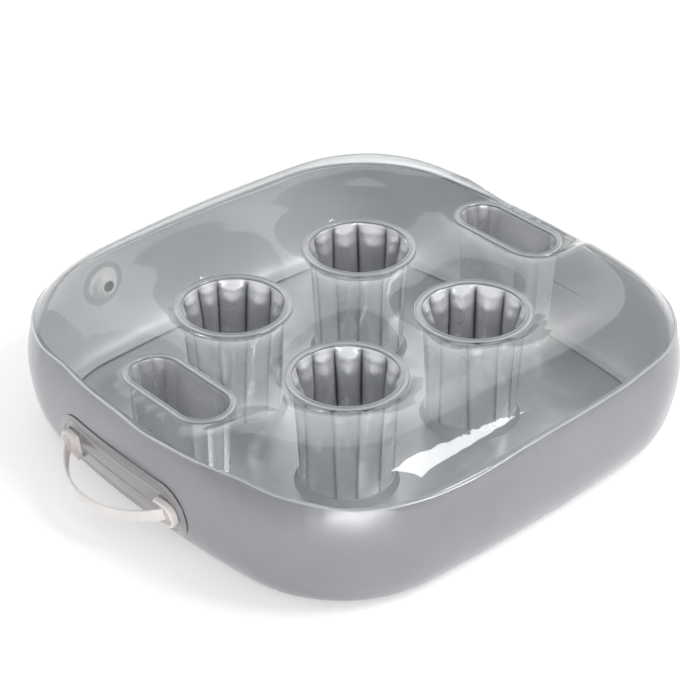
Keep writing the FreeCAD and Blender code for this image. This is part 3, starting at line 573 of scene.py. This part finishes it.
phone_vinyl = silver_vinyl("silver_pvc_phone_pockets", "E6E7EA", 0.4, 0.27, 0.6)
for index, (name, side) in enumerate((("left", -1), ("right", 1))):
    loops = [[Vector((side * PHONE_X + p.x, p.y, p.z)) for p in loop] for loop in phone_loops(31 + index)]
    sleeve = loft("pleated_phone_pocket_" + name, loops)
    finish_surface(sleeve, phone_vinyl, sheet=POCKET_SHEET, offset=0.0, smooth_angle=38, flip=True)
    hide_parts("phone_sleeve_" + name)
    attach(sleeve, "root")

# Top film: one sheet of clear vinyl, welded to the band all round and to each pocket's rim.
# Air lifts it between those welds like a soap film, fuller beside the seam and in the far right
# corner, and it gathers in fine folds beside the welds.
FILM, CREST = 0.35, 117.6
FULLNESS, CORNER_SWELL, FULL_INSET = 9.0, 5.0, 78
FULL_CORNER, CORNER_SPREAD = (168, 40), 80
RIM_RADIUS, PHONE_RIM_RADIUS = 47.2, 25.0
# the flat net: its even spacing, and where the finer rings beside seam, cups and phones end
NET_PITCH, NET_ROW = 3.7, 0.866
SEAM_RINGS, CUP_RINGS, PHONE_RINGS = 18.0, 58.6, 36.4


def ring_points(radius, count):
    return [(radius * math.cos(2 * math.pi * i / count), radius * math.sin(2 * math.pi * i / count))
            for i in range(count)]


def inset_of(x, y):
    """Distance inside the seam outline."""
    x, y = abs(x), abs(y)
    if math.atan2(y - END_CENTRE.y, x - END_CENTRE.x) < END_TURN:
        return END_RADIUS - math.hypot(x - END_CENTRE.x, y - END_CENTRE.y)
    if math.atan2(y - SIDE_CENTRE.y, x - SIDE_CENTRE.x) > SIDE_TURN:
        return SIDE_RADIUS - math.hypot(x - SIDE_CENTRE.x, y - SIDE_CENTRE.y)
    return CORNER_RADIUS - math.hypot(x - CORNER_CENTRE.x, y - CORNER_CENTRE.y)


def from_cup(x, y):
    """Distance from the middle of the nearest cup pocket."""
    return min(math.hypot(x - side_x * CUP_X, y - side_y * CUP_Y) for name, side_x, side_y in CUPS)


def from_phone(x, y):
    """Distance from the line between the end centres of the nearest phone pocket."""
    return math.hypot(abs(x) - PHONE_X, max(0.0, abs(y) - PHONE_STRAIGHT))


def pulled_outline(inset, steps):
    """The seam outline moved inwards and pulled as the seam is, and the seam's height beside it."""
    placed, heights = [], []
    for point, inner in zip(outline(-inset, *steps), outline(-inset - 1, *steps)):
        inward, lift = seam_pull(point)
        placed.append(point + (inner - point).normalized() * inward * math.exp(-inset / 20))
        heights.append(SEAM + lift)
    return placed, heights


def film_layout():
    """Points of the flat film with the height of those that are welded, and the welded loops."""
    points, held, chains = [], [], []

    def take(chain, heights=None):
        first = len(points)
        points.extend((p[0], p[1]) for p in chain)
        held.extend(heights if heights is not None else [None] * len(chain))
        if heights is not None:
            chains.append([(first + i, first + (i + 1) % len(chain)) for i in range(len(chain))])

    take(*pulled_outline(0, band_steps))
    for inset, steps in ((1.5, (44, 60, 44)), (3.2, (40, 52, 40)), (5.4, (34, 44, 34)), (8.2, (30, 38, 30)),
                         (11.6, (26, 34, 26)), (15.4, (24, 30, 24))):
        take(pulled_outline(inset, steps)[0])
    cup_rings = ((RIM_RADIUS, 120), (48.6, 120), (50.4, 112), (52.8, 108), (56.0, 104))
    for name, side_x, side_y in CUPS:
        for index, (radius, count) in enumerate(cup_rings):
            ring = [(side_x * CUP_X + x, side_y * CUP_Y + y) for x, y in ring_points(radius, count)]
            take(ring, [DECK + 0.25] * count if index == 0 else None)
    for side in (-1, 1):
        for index, radius in enumerate((PHONE_RIM_RADIUS, 26.3, 28.0, 30.4, 33.6)):
            ring = [(side * PHONE_X + p.x, p.y) for p, n in stadium(radius, PHONE_STRAIGHT, 34, 20)]
            take(ring, [PHONE_RIM_Z + 0.25] * len(ring) if index == 0 else None)
    for row in range(int(2 * HALF_WIDTH / (NET_PITCH * NET_ROW)) + 2):
        for column in range(int(2 * HALF_LENGTH / NET_PITCH) + 2):
            x = -HALF_LENGTH + (column + 0.5 * (row % 2)) * NET_PITCH
            y = -HALF_WIDTH + row * NET_PITCH * NET_ROW
            off_rims = from_cup(x, y) >= CUP_RINGS and from_phone(x, y) >= PHONE_RINGS
            if off_rims and inset_of(x, y) >= SEAM_RINGS:
                points.append((x, y))
                held.append(None)
    return points, held, chains


def inside_pocket(x, y):
    return from_cup(x, y) < RIM_RADIUS - 0.05 or from_phone(x, y) < PHONE_RIM_RADIUS - 0.05


def solve(weights, first, second, load, heights, free):
    """Heights at which every free point balances its neighbours' pull and the air's push, found by
    conjugate gradients."""
    count = len(heights)
    total = np.zeros(count)
    np.add.at(total, first, weights)
    np.add.at(total, second, weights)

    def pull(values):
        out = total * values
        np.add.at(out, first, -weights * values[second])
        np.add.at(out, second, -weights * values[first])
        return out

    heights = heights.copy()
    residual = np.where(free, load - pull(heights), 0.0)
    step = residual / total
    rho = float(residual @ step)
    direction = step.copy()
    for round_number in range(900):
        pulled = np.where(free, pull(direction), 0.0)
        amount = rho / float(direction @ pulled)
        heights += amount * direction
        residual -= amount * pulled
        step = residual / total
        fresh = float(residual @ step)
        if fresh < 1e-12:
            break
        direction = step + direction * (fresh / rho)
        rho = fresh
    return heights


# The net's triangles, each wound upwards, and the points that the welds hold.
points, held, chains = film_layout()
net = geometry.delaunay_2d_cdt([Vector(p) for p in points], [edge for chain in chains for edge in chain],
                               [], 0, 1e-4)
flat_points, triangles, sources = net[0], net[2], net[3]
xy = np.array([(p.x, p.y) for p in flat_points])
faces = []
for triangle in triangles:
    x, y = (sum(xy[i][k] for i in triangle) / 3 for k in (0, 1))
    if not inside_pocket(x, y) and inset_of(x, y) > -6:  # the seam's pulls reach outside its outline
        a, b, c = triangle[:3]
        turned = np.cross(xy[b] - xy[a], xy[c] - xy[a]) > 0
        faces.append((a, b, c) if turned else (a, c, b))
faces = np.array(faces)
height = np.full(len(xy), DECK)
fixed = np.zeros(len(xy), bool)
for index, source in enumerate(sources):
    for original in source:
        if held[original] is not None:
            height[index] = held[original]
            fixed[index] = True
used = np.zeros(len(xy), bool)
used[faces.ravel()] = True
fixed |= ~used

# Each edge pulls by the cotangents of the angles that face it, and air pushes on each point's
# share of the triangles round it.
first, second, weights = [], [], []
area = np.zeros(len(xy))
for k in range(3):
    a, b, c = faces[:, k], faces[:, (k + 1) % 3], faces[:, (k + 2) % 3]
    u, v = xy[a] - xy[c], xy[b] - xy[c]
    cross = np.abs(u[:, 0] * v[:, 1] - u[:, 1] * v[:, 0])
    cot = (u * v).sum(1) / np.maximum(cross, 1e-6)
    first.append(a)
    second.append(b)
    weights.append(np.maximum(cot / 2, 0.02))
    np.add.at(area, a, cross / 6)
first, second, weights = np.concatenate(first), np.concatenate(second), np.concatenate(weights)
still = solve(weights, first, second, np.zeros(len(xy)), height, ~fixed)
pushed = solve(weights, first, second, area, np.zeros(len(xy)), ~fixed)
pressure = (CREST - SEAM) / pushed.max()
for trial in range(20):
    height = still + pressure * pushed
    pressure *= 1 + 0.5 * (CREST - height.max()) / (CREST - SEAM)


def gather(x, y):
    """Height of the fine folds that run out from the pockets' welds and in from the seam."""
    out = 0.0
    for index, (name, sx, sy) in enumerate(CUPS):
        dx, dy = x - sx * CUP_X, y - sy * CUP_Y
        gap = math.hypot(dx, dy) - RIM_RADIUS
        if gap < 30:
            turn = math.atan2(dy, dx)
            fold = math.sin(17 * turn + index) + 0.7 * math.sin(29 * turn + 2.1 * index)
            out += 0.06 * fold * math.exp(-gap / 8) * smooth_step(gap / 3)
    for side in (-1, 1):
        dx = x - side * PHONE_X
        beyond = max(0.0, abs(y) - PHONE_STRAIGHT) * math.copysign(1, y)
        gap = math.hypot(dx, beyond) - PHONE_RIM_RADIUS
        if gap < 30:
            run = y
            if beyond:
                run = math.copysign(PHONE_STRAIGHT, y) + math.atan2(beyond, abs(dx)) * PHONE_RIM_RADIUS
            outer = 1.0 if dx * side > 0 else 0.25
            fold = math.sin(run / 2.1 + side) + 0.6 * math.sin(run / 1.35 + 1.7)
            out += 0.2 * outer * fold * math.exp(-gap / 9) * smooth_step(gap / 3)
    inset = inset_of(x, y)
    if inset < 30:
        turn = math.atan2(y, x)
        fold = math.sin(61 * turn) * math.sin(7 * turn + 1)
        fold += 0.6 * math.sin(103 * turn + 2) * math.sin(5 * turn)
        out += 0.16 * fold * math.exp(-inset / 9) * smooth_step(inset / 3)
    return out


def fullness(x, y):
    """How far the sheet stands above the soap film beside the seam: it can't stretch, so it leaves steeply.

    The profile s (1 - s)^2 peaks at a third of FULL_INSET, where 6.75 of it is 1.
    """
    to_cup, to_phone = from_cup(x, y) - RIM_RADIUS, from_phone(x, y) - PHONE_RIM_RADIUS
    clear_of_rims = smooth_step(min(to_cup / 34, to_phone / 26))
    share = min(1.0, inset_of(x, y) / FULL_INSET)
    corner = math.exp(-((x - FULL_CORNER[0]) ** 2 + (y - FULL_CORNER[1]) ** 2) / (2 * CORNER_SPREAD ** 2))
    return (FULLNESS + CORNER_SWELL * corner) * 6.75 * share * (1 - share) ** 2 * clear_of_rims


for index in range(len(xy)):
    if used[index] and not fixed[index]:
        height[index] += gather(*xy[index]) + fullness(*xy[index])

bpy.ops.object.select_all(action="DESELECT")
order = np.cumsum(used) - 1
film_mesh = bpy.data.meshes.new("clear_top_film")
film_mesh.from_pydata([(x * MM, y * MM, z * MM) for (x, y), z, keep in zip(xy, height, used) if keep], [],
                      [tuple(int(order[i]) for i in face) for face in faces])
film = bpy.data.objects.new("clear_top_film", film_mesh)
scene.collection.objects.link(film)

# Clear film: soft plasticised PVC. It is glossy on both sides, almost clear face on, and
# mirrors the surround where it turns away. Handling leaves it a little hazy.
clear_film, tree = new_material("clear_soft_pvc")
place = node(tree, "TexCoord").outputs["Object"]
ripple = node(tree, "TexNoise", {"Vector": place, "Scale": 1 / (28 * MM), "Detail": 2.0})
fine = node(tree, "TexNoise", {"Vector": place, "Scale": 1 / (6 * MM), "Detail": 1.0})
bump = node(tree, "Bump", {"Height": ripple.outputs["Fac"], "Strength": 1.0, "Distance": 0.25 * MM})
bump = node(tree, "Bump", {"Height": fine.outputs["Fac"], "Strength": 1.0, "Distance": 0.015 * MM,
                           "Normal": bump.outputs[0]})
facing = node(tree, "LayerWeight", {"Blend": 0.5, "Normal": bump.outputs[0]})
slant = node(tree, "Math", {0: facing.outputs["Facing"], 1: 4.0}, operation="POWER")
smoke = node(tree, "Mix", {"Factor": slant.outputs[0], "A": srgb("FDFEFE"), "B": srgb("8E9296")},
             data_type="RGBA")
clear = node(tree, "BsdfTransparent", {"Color": smoke.outputs["Result"]})
haze = node(tree, "BsdfDiffuse", {"Color": srgb("D9DCDF")})
through = node(tree, "MixShader", {0: 0.012, 1: clear.outputs[0], 2: haze.outputs[0]})
gloss = node(tree, "BsdfGlossy", {"Color": srgb("FFFFFF"), "Roughness": 0.045,
                                  "Normal": bump.outputs[0]})
grazing = node(tree, "Math", {0: facing.outputs["Facing"], 1: 5.0}, operation="POWER")
mirror = node(tree, "Math", {0: grazing.outputs[0], 1: 0.96, 2: 0.04}, operation="MULTIPLY_ADD")
surface = node(tree, "MixShader", {0: mirror.outputs[0], 1: through.outputs[0], 2: gloss.outputs[0]})
node(tree, "OutputMaterial", {"Surface": surface.outputs[0]})
finish_surface(film, clear_film, sheet=FILM, offset=1.0, smooth_angle=80)
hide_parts("top_film")
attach(film, "root")

# Seam weld: the film and the band are pressed together in one narrow bead round the tray.
# The heated press leaves it smooth, glossy and a little uneven.
weld_vinyl = plain_vinyl("welded_pvc_edge", "B9BBBF", (3, 2.0), (0.5, 0.12),
                         {"Metallic": 0.35, "Roughness": 0.24, "Coat Weight": 0.5, "Coat Roughness": 0.08})
WELD_WIDE, WELD_HIGH = 1.5, 0.75
WELD_SECTION = [(x * WELD_WIDE, y * WELD_HIGH) for x, y in ring_points(1, 10)]
loops = []
thickness = [1 + 0.18 * math.sin(i * 0.37) * math.sin(i * 0.11) for i in range(len(seam_line))]
for across, up in WELD_SECTION + WELD_SECTION[:1]:
    loop = []
    for index, (point, beyond) in enumerate(zip(seam_line, outline(1, *band_steps))):
        out = (beyond - point).normalized()
        inward, lift = seam_pull(point)
        reach = 0.3 + across * thickness[index] - inward
        loop.append(Vector((point.x + out.x * reach, point.y + out.y * reach,
                            SEAM + 0.2 + up * thickness[index] + lift)))
    loops.append(loop)
seam_weld = loft("seam_weld", loops)
finish_surface(seam_weld, weld_vinyl, smooth_angle=80)
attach(seam_weld, "root")

# Rim welds: a flat ring of film over sleeve round each pocket, with a bead along both edges.
# The silver sleeve shows through the milky film, clouded where the weld took unevenly.
rim_vinyl = plain_vinyl("milky_welded_rim", "979A9D", (14, 3.0), (0.6, 0.5),
                        {"Metallic": 0.3, "Roughness": 0.22, "Coat Weight": 0.8, "Coat Roughness": 0.05},
                        clouds=(14, 0.9, 1.06))

# distance from the opening's edge, height above the film's underside
RIM_SECTION = (
    (0.0, -0.9), (-0.35, -0.35), (-0.3, 0.35), (0.1, 0.95), (0.75, 1.15), (1.35, 0.95), (1.8, 0.55),
    (3.0, 0.45), (4.2, 0.5), (4.7, 0.85), (5.25, 1.05), (5.85, 0.85), (6.2, 0.4), (6.25, -0.1),
    (6.0, -0.5), (3.0, -0.55), (0.8, -0.95))
for name, side_x, side_y in CUPS:
    loops = []
    for reach, up in RIM_SECTION + RIM_SECTION[:1]:
        radius = CUP_OPENING + reach
        loops.append([Vector((side_x * CUP_X + x, side_y * CUP_Y + y, DECK + FILM + up))
                      for x, y in ring_points(radius, 160)])
    ring = loft("cup_rim_weld_" + name, loops)
    finish_surface(ring, rim_vinyl, smooth_angle=80)
    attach(ring, "root")
for name, side in (("left", -1), ("right", 1)):
    loops = []
    for reach, up in RIM_SECTION + RIM_SECTION[:1]:
        radius = PHONE_RADIUS + reach * 0.85
        loops.append([Vector((side * PHONE_X + p.x, p.y, PHONE_RIM_Z + FILM + up))
                      for p, n in stadium(radius, PHONE_STRAIGHT, 60, 30)])
    ring = loft("phone_rim_weld_" + name, loops)
    finish_surface(ring, rim_vinyl, smooth_angle=80)
    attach(ring, "root")

# Valve: moulded in soft milky vinyl, its flange welded inside the band. It keeps the CAD
# shape: collar, bore, and the plug with its pull tab outside. The thin flange takes the grey
# of the band behind it, and the shade inside the bore is painted in dark grey.
VALVE_X, VALVE_Z = -89.0, 60.0
VALVE_BORE, VALVE_BORE_END = 5.2, 216.0
valve_vinyl, tree = new_material("milky_moulded_vinyl")
place = node(tree, "TexCoord").outputs["Object"]
cloud = node(tree, "TexNoise", {"Vector": place, "Scale": 1 / (5 * MM), "Detail": 2.0})
bump = node(tree, "Bump", {"Height": cloud.outputs["Fac"], "Strength": 0.3, "Distance": 0.15 * MM})
centred = node(tree, "VectorMath", {0: place, 1: (-VALVE_X * MM, 0.0, -VALVE_Z * MM)}, operation="ADD")
flat = node(tree, "VectorMath", {0: centred.outputs[0], 1: (1.0, 0.0, 1.0)}, operation="MULTIPLY")
away = node(tree, "VectorMath", {0: flat.outputs[0]}, operation="LENGTH")
stem = node(tree, "MapRange", {"Value": away.outputs["Value"], "From Min": 14.0 * MM,
                               "From Max": 16.0 * MM, "To Min": 0.0, "To Max": 1.0})
tint = node(tree, "Mix", {"Factor": stem.outputs[0], "A": srgb("F2F1EE"), "B": srgb("B4B6BA")},
            data_type="RGBA")
# painted shade: inside the bore the colour is dark grey, where shade falls in the hole
bore = node(tree, "Math", {0: away.outputs["Value"], 1: VALVE_BORE * MM}, operation="LESS_THAN")
depth = node(tree, "SeparateXYZ", {"Vector": place})
inside = node(tree, "Math", {0: depth.outputs["Y"], 1: VALVE_BORE_END * MM}, operation="LESS_THAN")
painted_bore_shade = node(tree, "Math", {0: bore.outputs[0], 1: inside.outputs[0]}, operation="MULTIPLY")
tint = node(tree, "Mix", {"Factor": painted_bore_shade.outputs[0], "A": tint.outputs["Result"], "B": srgb("4A4A4C")},
            data_type="RGBA")
milky = node(tree, "BsdfPrincipled",
             {"Base Color": tint.outputs["Result"], "Roughness": 0.35, "Subsurface Weight": 0.25,
              "Subsurface Radius": (1.0, 0.9, 0.8), "Subsurface Scale": 2 * MM, "Coat Weight": 0.3,
              "Coat Roughness": 0.15, "Normal": bump.outputs[0]})
node(tree, "OutputMaterial", {"Surface": milky.outputs[0]})
dress_cad("valve_body", valve_vinyl)
dress_cad("valve_plug", valve_vinyl)

# Handles: a moulded base of soft vinyl welded on each end of the tray, its steps one inside
# the other, with two raised arches that hold the ends of a strap.
HANDLE_Z = 37.0
BASE_LENGTH, BASE_WIDTH = 158.0, 50.0
STAND_OFF, BASE_GAUGE = 0.3, 1.5


def band_offset_at(height):
    """How far the band stands outside the seam outline at a height."""
    if height >= WIDEST:
        return BULGE - UPPER_RADIUS + math.sqrt(UPPER_RADIUS ** 2 - (height - WIDEST) ** 2)
    share = (WIDEST - height) / (WIDEST - BAND_BOTTOM)
    return BULGE - TURN_IN * (1 - math.sqrt(1 - share ** 2))


def end_surface(y, z, proud):
    """A point that stands proud of the band on the -X end."""
    offset = band_offset_at(z)
    step = 0.5
    lean = (band_offset_at(z + step) - band_offset_at(z - step)) / (2 * step)
    swing = math.asin(y / (END_RADIUS + offset))
    reach = END_CENTRE.x + (END_RADIUS + offset) * math.cos(swing)
    normal = Vector((math.cos(swing), math.sin(swing), -lean)).normalized()
    return Vector((-(reach + normal.x * proud), y + normal.y * proud, z + normal.z * proud))


# Straps and arches: thick soft vinyl, milky, so light goes a little way in. The grain of its
# mould is drawn 1.2 mm wide to show.
handle_vinyl = plain_vinyl("translucent_moulded_vinyl", "F2ECEA", (1.2, 1.0), (0.2, 0.08),
                           {"Roughness": 0.38, "Subsurface Weight": 0.2, "Subsurface Radius": (1.0, 0.7, 0.6),
                            "Subsurface Scale": 2 * MM, "Coat Weight": 0.25, "Coat Roughness": 0.2},
                           clouds=(18, 0.92, 1.05))
# Plates: the same vinyl, thin and clear enough that the silver band darkens it.
base_vinyl = plain_vinyl("smoky_moulded_vinyl", "8D8B8E", (22, 3.0), (0.4, 0.3),
                         {"Metallic": 0.35, "Roughness": 0.3, "Coat Weight": 0.5, "Coat Roughness": 0.12},
                         clouds=(22, 0.92, 1.06))

# distance in from the edge, height above the back
BASE_BACK = ((24.6, -0.05), (12.0, -0.05), (0.6, -0.05))
BASE_STEPS = (
    (0.0, 0.0), (0.0, 0.5), (0.35, 0.8), (1.2, 0.85), (3.2, 0.8), (3.6, 0.95), (4.1, 1.35), (4.8, 1.45),
    (5.5, 1.3), (5.9, 0.95), (7.4, 0.85), (7.8, 1.0), (8.3, 1.3), (9.0, 1.35), (9.6, 1.15), (10.0, 0.9),
    (12.0, 0.9), (15.0, 0.95), (19.0, 0.95), (22.5, 0.95), (24.6, 0.95))


def handle_piece(name, side_name, loops, finish, smooth_angle):
    """Loft a piece of a handle and fill its two ends. The right handle is the left one turned half round."""
    if side_name == "right":
        loops = [[Vector((-p.x, -p.y, p.z)) for p in loop] for loop in loops]
    piece = loft(name + side_name, loops)
    shape = bmesh.new()
    shape.from_mesh(piece.data)
    shape.verts.ensure_lookup_table()
    count = len(loops[0])
    shape.faces.new([shape.verts[i] for i in range(count)])
    shape.faces.new([shape.verts[len(shape.verts) - count + i] for i in range(count)])
    shape.to_mesh(piece.data)
    shape.free()
    finish_surface(piece, finish, smooth_angle=smooth_angle)
    return piece


base_half = (BASE_LENGTH - BASE_WIDTH) / 2
for side_name in ("left", "right"):
    loops = []
    for inset, proud in BASE_BACK + BASE_STEPS:
        ring = stadium(BASE_WIDTH / 2 - inset, base_half, 48, 44)
        loops.append([end_surface(HANDLE_Y + p.y, HANDLE_Z + p.x, STAND_OFF + proud) for p, n in ring])
    base = handle_piece("handle_plate_", side_name, loops, base_vinyl, 50)
    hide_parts("handle_base_" + side_name)
    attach(base, "root")

# Strap: a flat bowed strip of the same soft vinyl, rounded along its edges, drooping a little.
STRAP_SPAN, STRAP_BOW, STRAP_WIDTH, STRAP_GAUGE = 60.0, 29.0, 12.0, 2.0
STRAP_TILT = math.radians(14)
STRAP_RADIUS = (STRAP_SPAN ** 2 + STRAP_BOW ** 2) / (2 * STRAP_BOW)
STRAP_TURN = math.asin(STRAP_SPAN / STRAP_RADIUS)
end_reach = math.sqrt((END_RADIUS + band_offset_at(HANDLE_Z)) ** 2 - HANDLE_Y ** 2)
STRAP_CHORD = END_CENTRE.x + end_reach + BASE_GAUGE + 2.4


def strap_point(turn, deep, wide):
    """A point of the strap: along its bow, deep through its thickness and wide across it."""
    out = (STRAP_RADIUS + deep) * math.cos(turn) - (STRAP_RADIUS - STRAP_BOW)
    side = (STRAP_RADIUS + deep) * math.sin(turn)
    return Vector((-STRAP_CHORD - out * math.cos(STRAP_TILT) - wide * math.sin(STRAP_TILT),
                   HANDLE_Y + side,
                   HANDLE_Z - out * math.sin(STRAP_TILT) + wide * math.cos(STRAP_TILT)))


def rounded_strip(half_wide, half_deep, corner, steps):
    """Section of a strip with rounded edges."""
    made = []
    for sign_w, sign_d, start in ((1, 1, 0), (-1, 1, 90), (-1, -1, 180), (1, -1, 270)):
        for step in range(steps + 1):
            turn = math.radians(start + 90 * step / steps)
            made.append((sign_w * (half_wide - corner) + corner * math.cos(turn),
                         sign_d * (half_deep - corner) + corner * math.sin(turn)))
    return made


strap_section = rounded_strip(STRAP_WIDTH / 2, STRAP_GAUGE / 2, 0.8, 3)
strap_steps = 60
for side_name in ("left", "right"):
    loops = []
    for step in range(strap_steps + 1):
        turn = STRAP_TURN * (2 * step / strap_steps - 1)
        loops.append([strap_point(turn, deep, wide) for wide, deep in strap_section])
    strap = handle_piece("carry_strap_", side_name, loops, handle_vinyl, 50)
    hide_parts("handle_strap_" + side_name)
    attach(strap, "root")

# Strap anchors: a thick arch on the plate with a lower pad inside it, moulded in one.
ARCH_RADIUS, ARCH_NECK, ARCH_WALL, ARCH_SUNK = 11.0, 9.0, 2.6, 0.55
NECK_STEPS, ROUND_STEPS = 6, 28
# across the wall, height above the plate
ARCH_SECTION = ((-1.3, 0.6), (-1.3, 4.6), (-1.1, 5.5), (-0.6, 5.95), (0.0, 6.05), (0.6, 5.9), (1.1, 5.3),
                (1.35, 4.2), (1.5, 0.6))
# distance in from the edge, height above the plate
PAD_SECTION = ((0.4, -0.4), (0.0, -0.4), (0.0, 0.7), (0.3, 1.05), (0.9, 1.2), (3.0, 1.2), (6.0, 1.2),
               (8.0, 1.2))


def arch_path(reach, sign, centre):
    """Points along an arch whose open side faces the middle of the strap."""
    made = []
    for step in range(NECK_STEPS):
        made.append((centre - sign * ARCH_NECK * (1 - step / NECK_STEPS), HANDLE_Z + reach, 0.0, 1.0))
    for step in range(ROUND_STEPS + 1):
        turn = math.pi / 2 - math.pi * step / ROUND_STEPS
        made.append((centre + sign * reach * math.cos(turn), HANDLE_Z + reach * math.sin(turn),
                     sign * math.cos(turn), math.sin(turn)))
    for step in range(NECK_STEPS):
        made.append((centre - sign * ARCH_NECK * (step + 1) / NECK_STEPS, HANDLE_Z - reach, 0.0, -1.0))
    return made


for side_name in ("left", "right"):
    for anchor_name, sign in (("a", 1), ("b", -1)):
        centre = HANDLE_Y + sign * STRAP_SPAN
        loops = []
        for y, z, out_y, out_z in arch_path(ARCH_RADIUS - ARCH_WALL / 2, sign, centre):
            loops.append([end_surface(y + out_y * across, z + out_z * across, BASE_GAUGE + up - ARCH_SUNK)
                          for across, up in ARCH_SECTION])
        arch = handle_piece("strap_arch_%s_" % anchor_name, side_name, loops, handle_vinyl, 45)
        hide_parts("strap_anchor_%s_%s" % (anchor_name, side_name))
        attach(arch, "root")

        loops = []
        for inset, up in PAD_SECTION:
            reach = ARCH_RADIUS - ARCH_WALL + 0.4 - inset
            open_side = centre - sign * (ARCH_NECK - 0.5 - inset * 0.5)
            loop = []
            for step in range(25):
                turn = math.pi / 2 - math.pi * step / 24
                y, z = centre + sign * reach * math.cos(turn), HANDLE_Z + reach * math.sin(turn)
                loop.append(end_surface(y, z, BASE_GAUGE + up))
            for step in range(12):
                part = (step + 0.5) / 12
                loop.append(end_surface(open_side, HANDLE_Z - reach + 2 * reach * part, BASE_GAUGE + up))
            loops.append(loop)
        pad = handle_piece("strap_pad_%s_" % anchor_name, side_name, loops, handle_vinyl, 45)
        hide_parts("strap_anchor_%s_%s" % (anchor_name, side_name))
        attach(pad, "root")
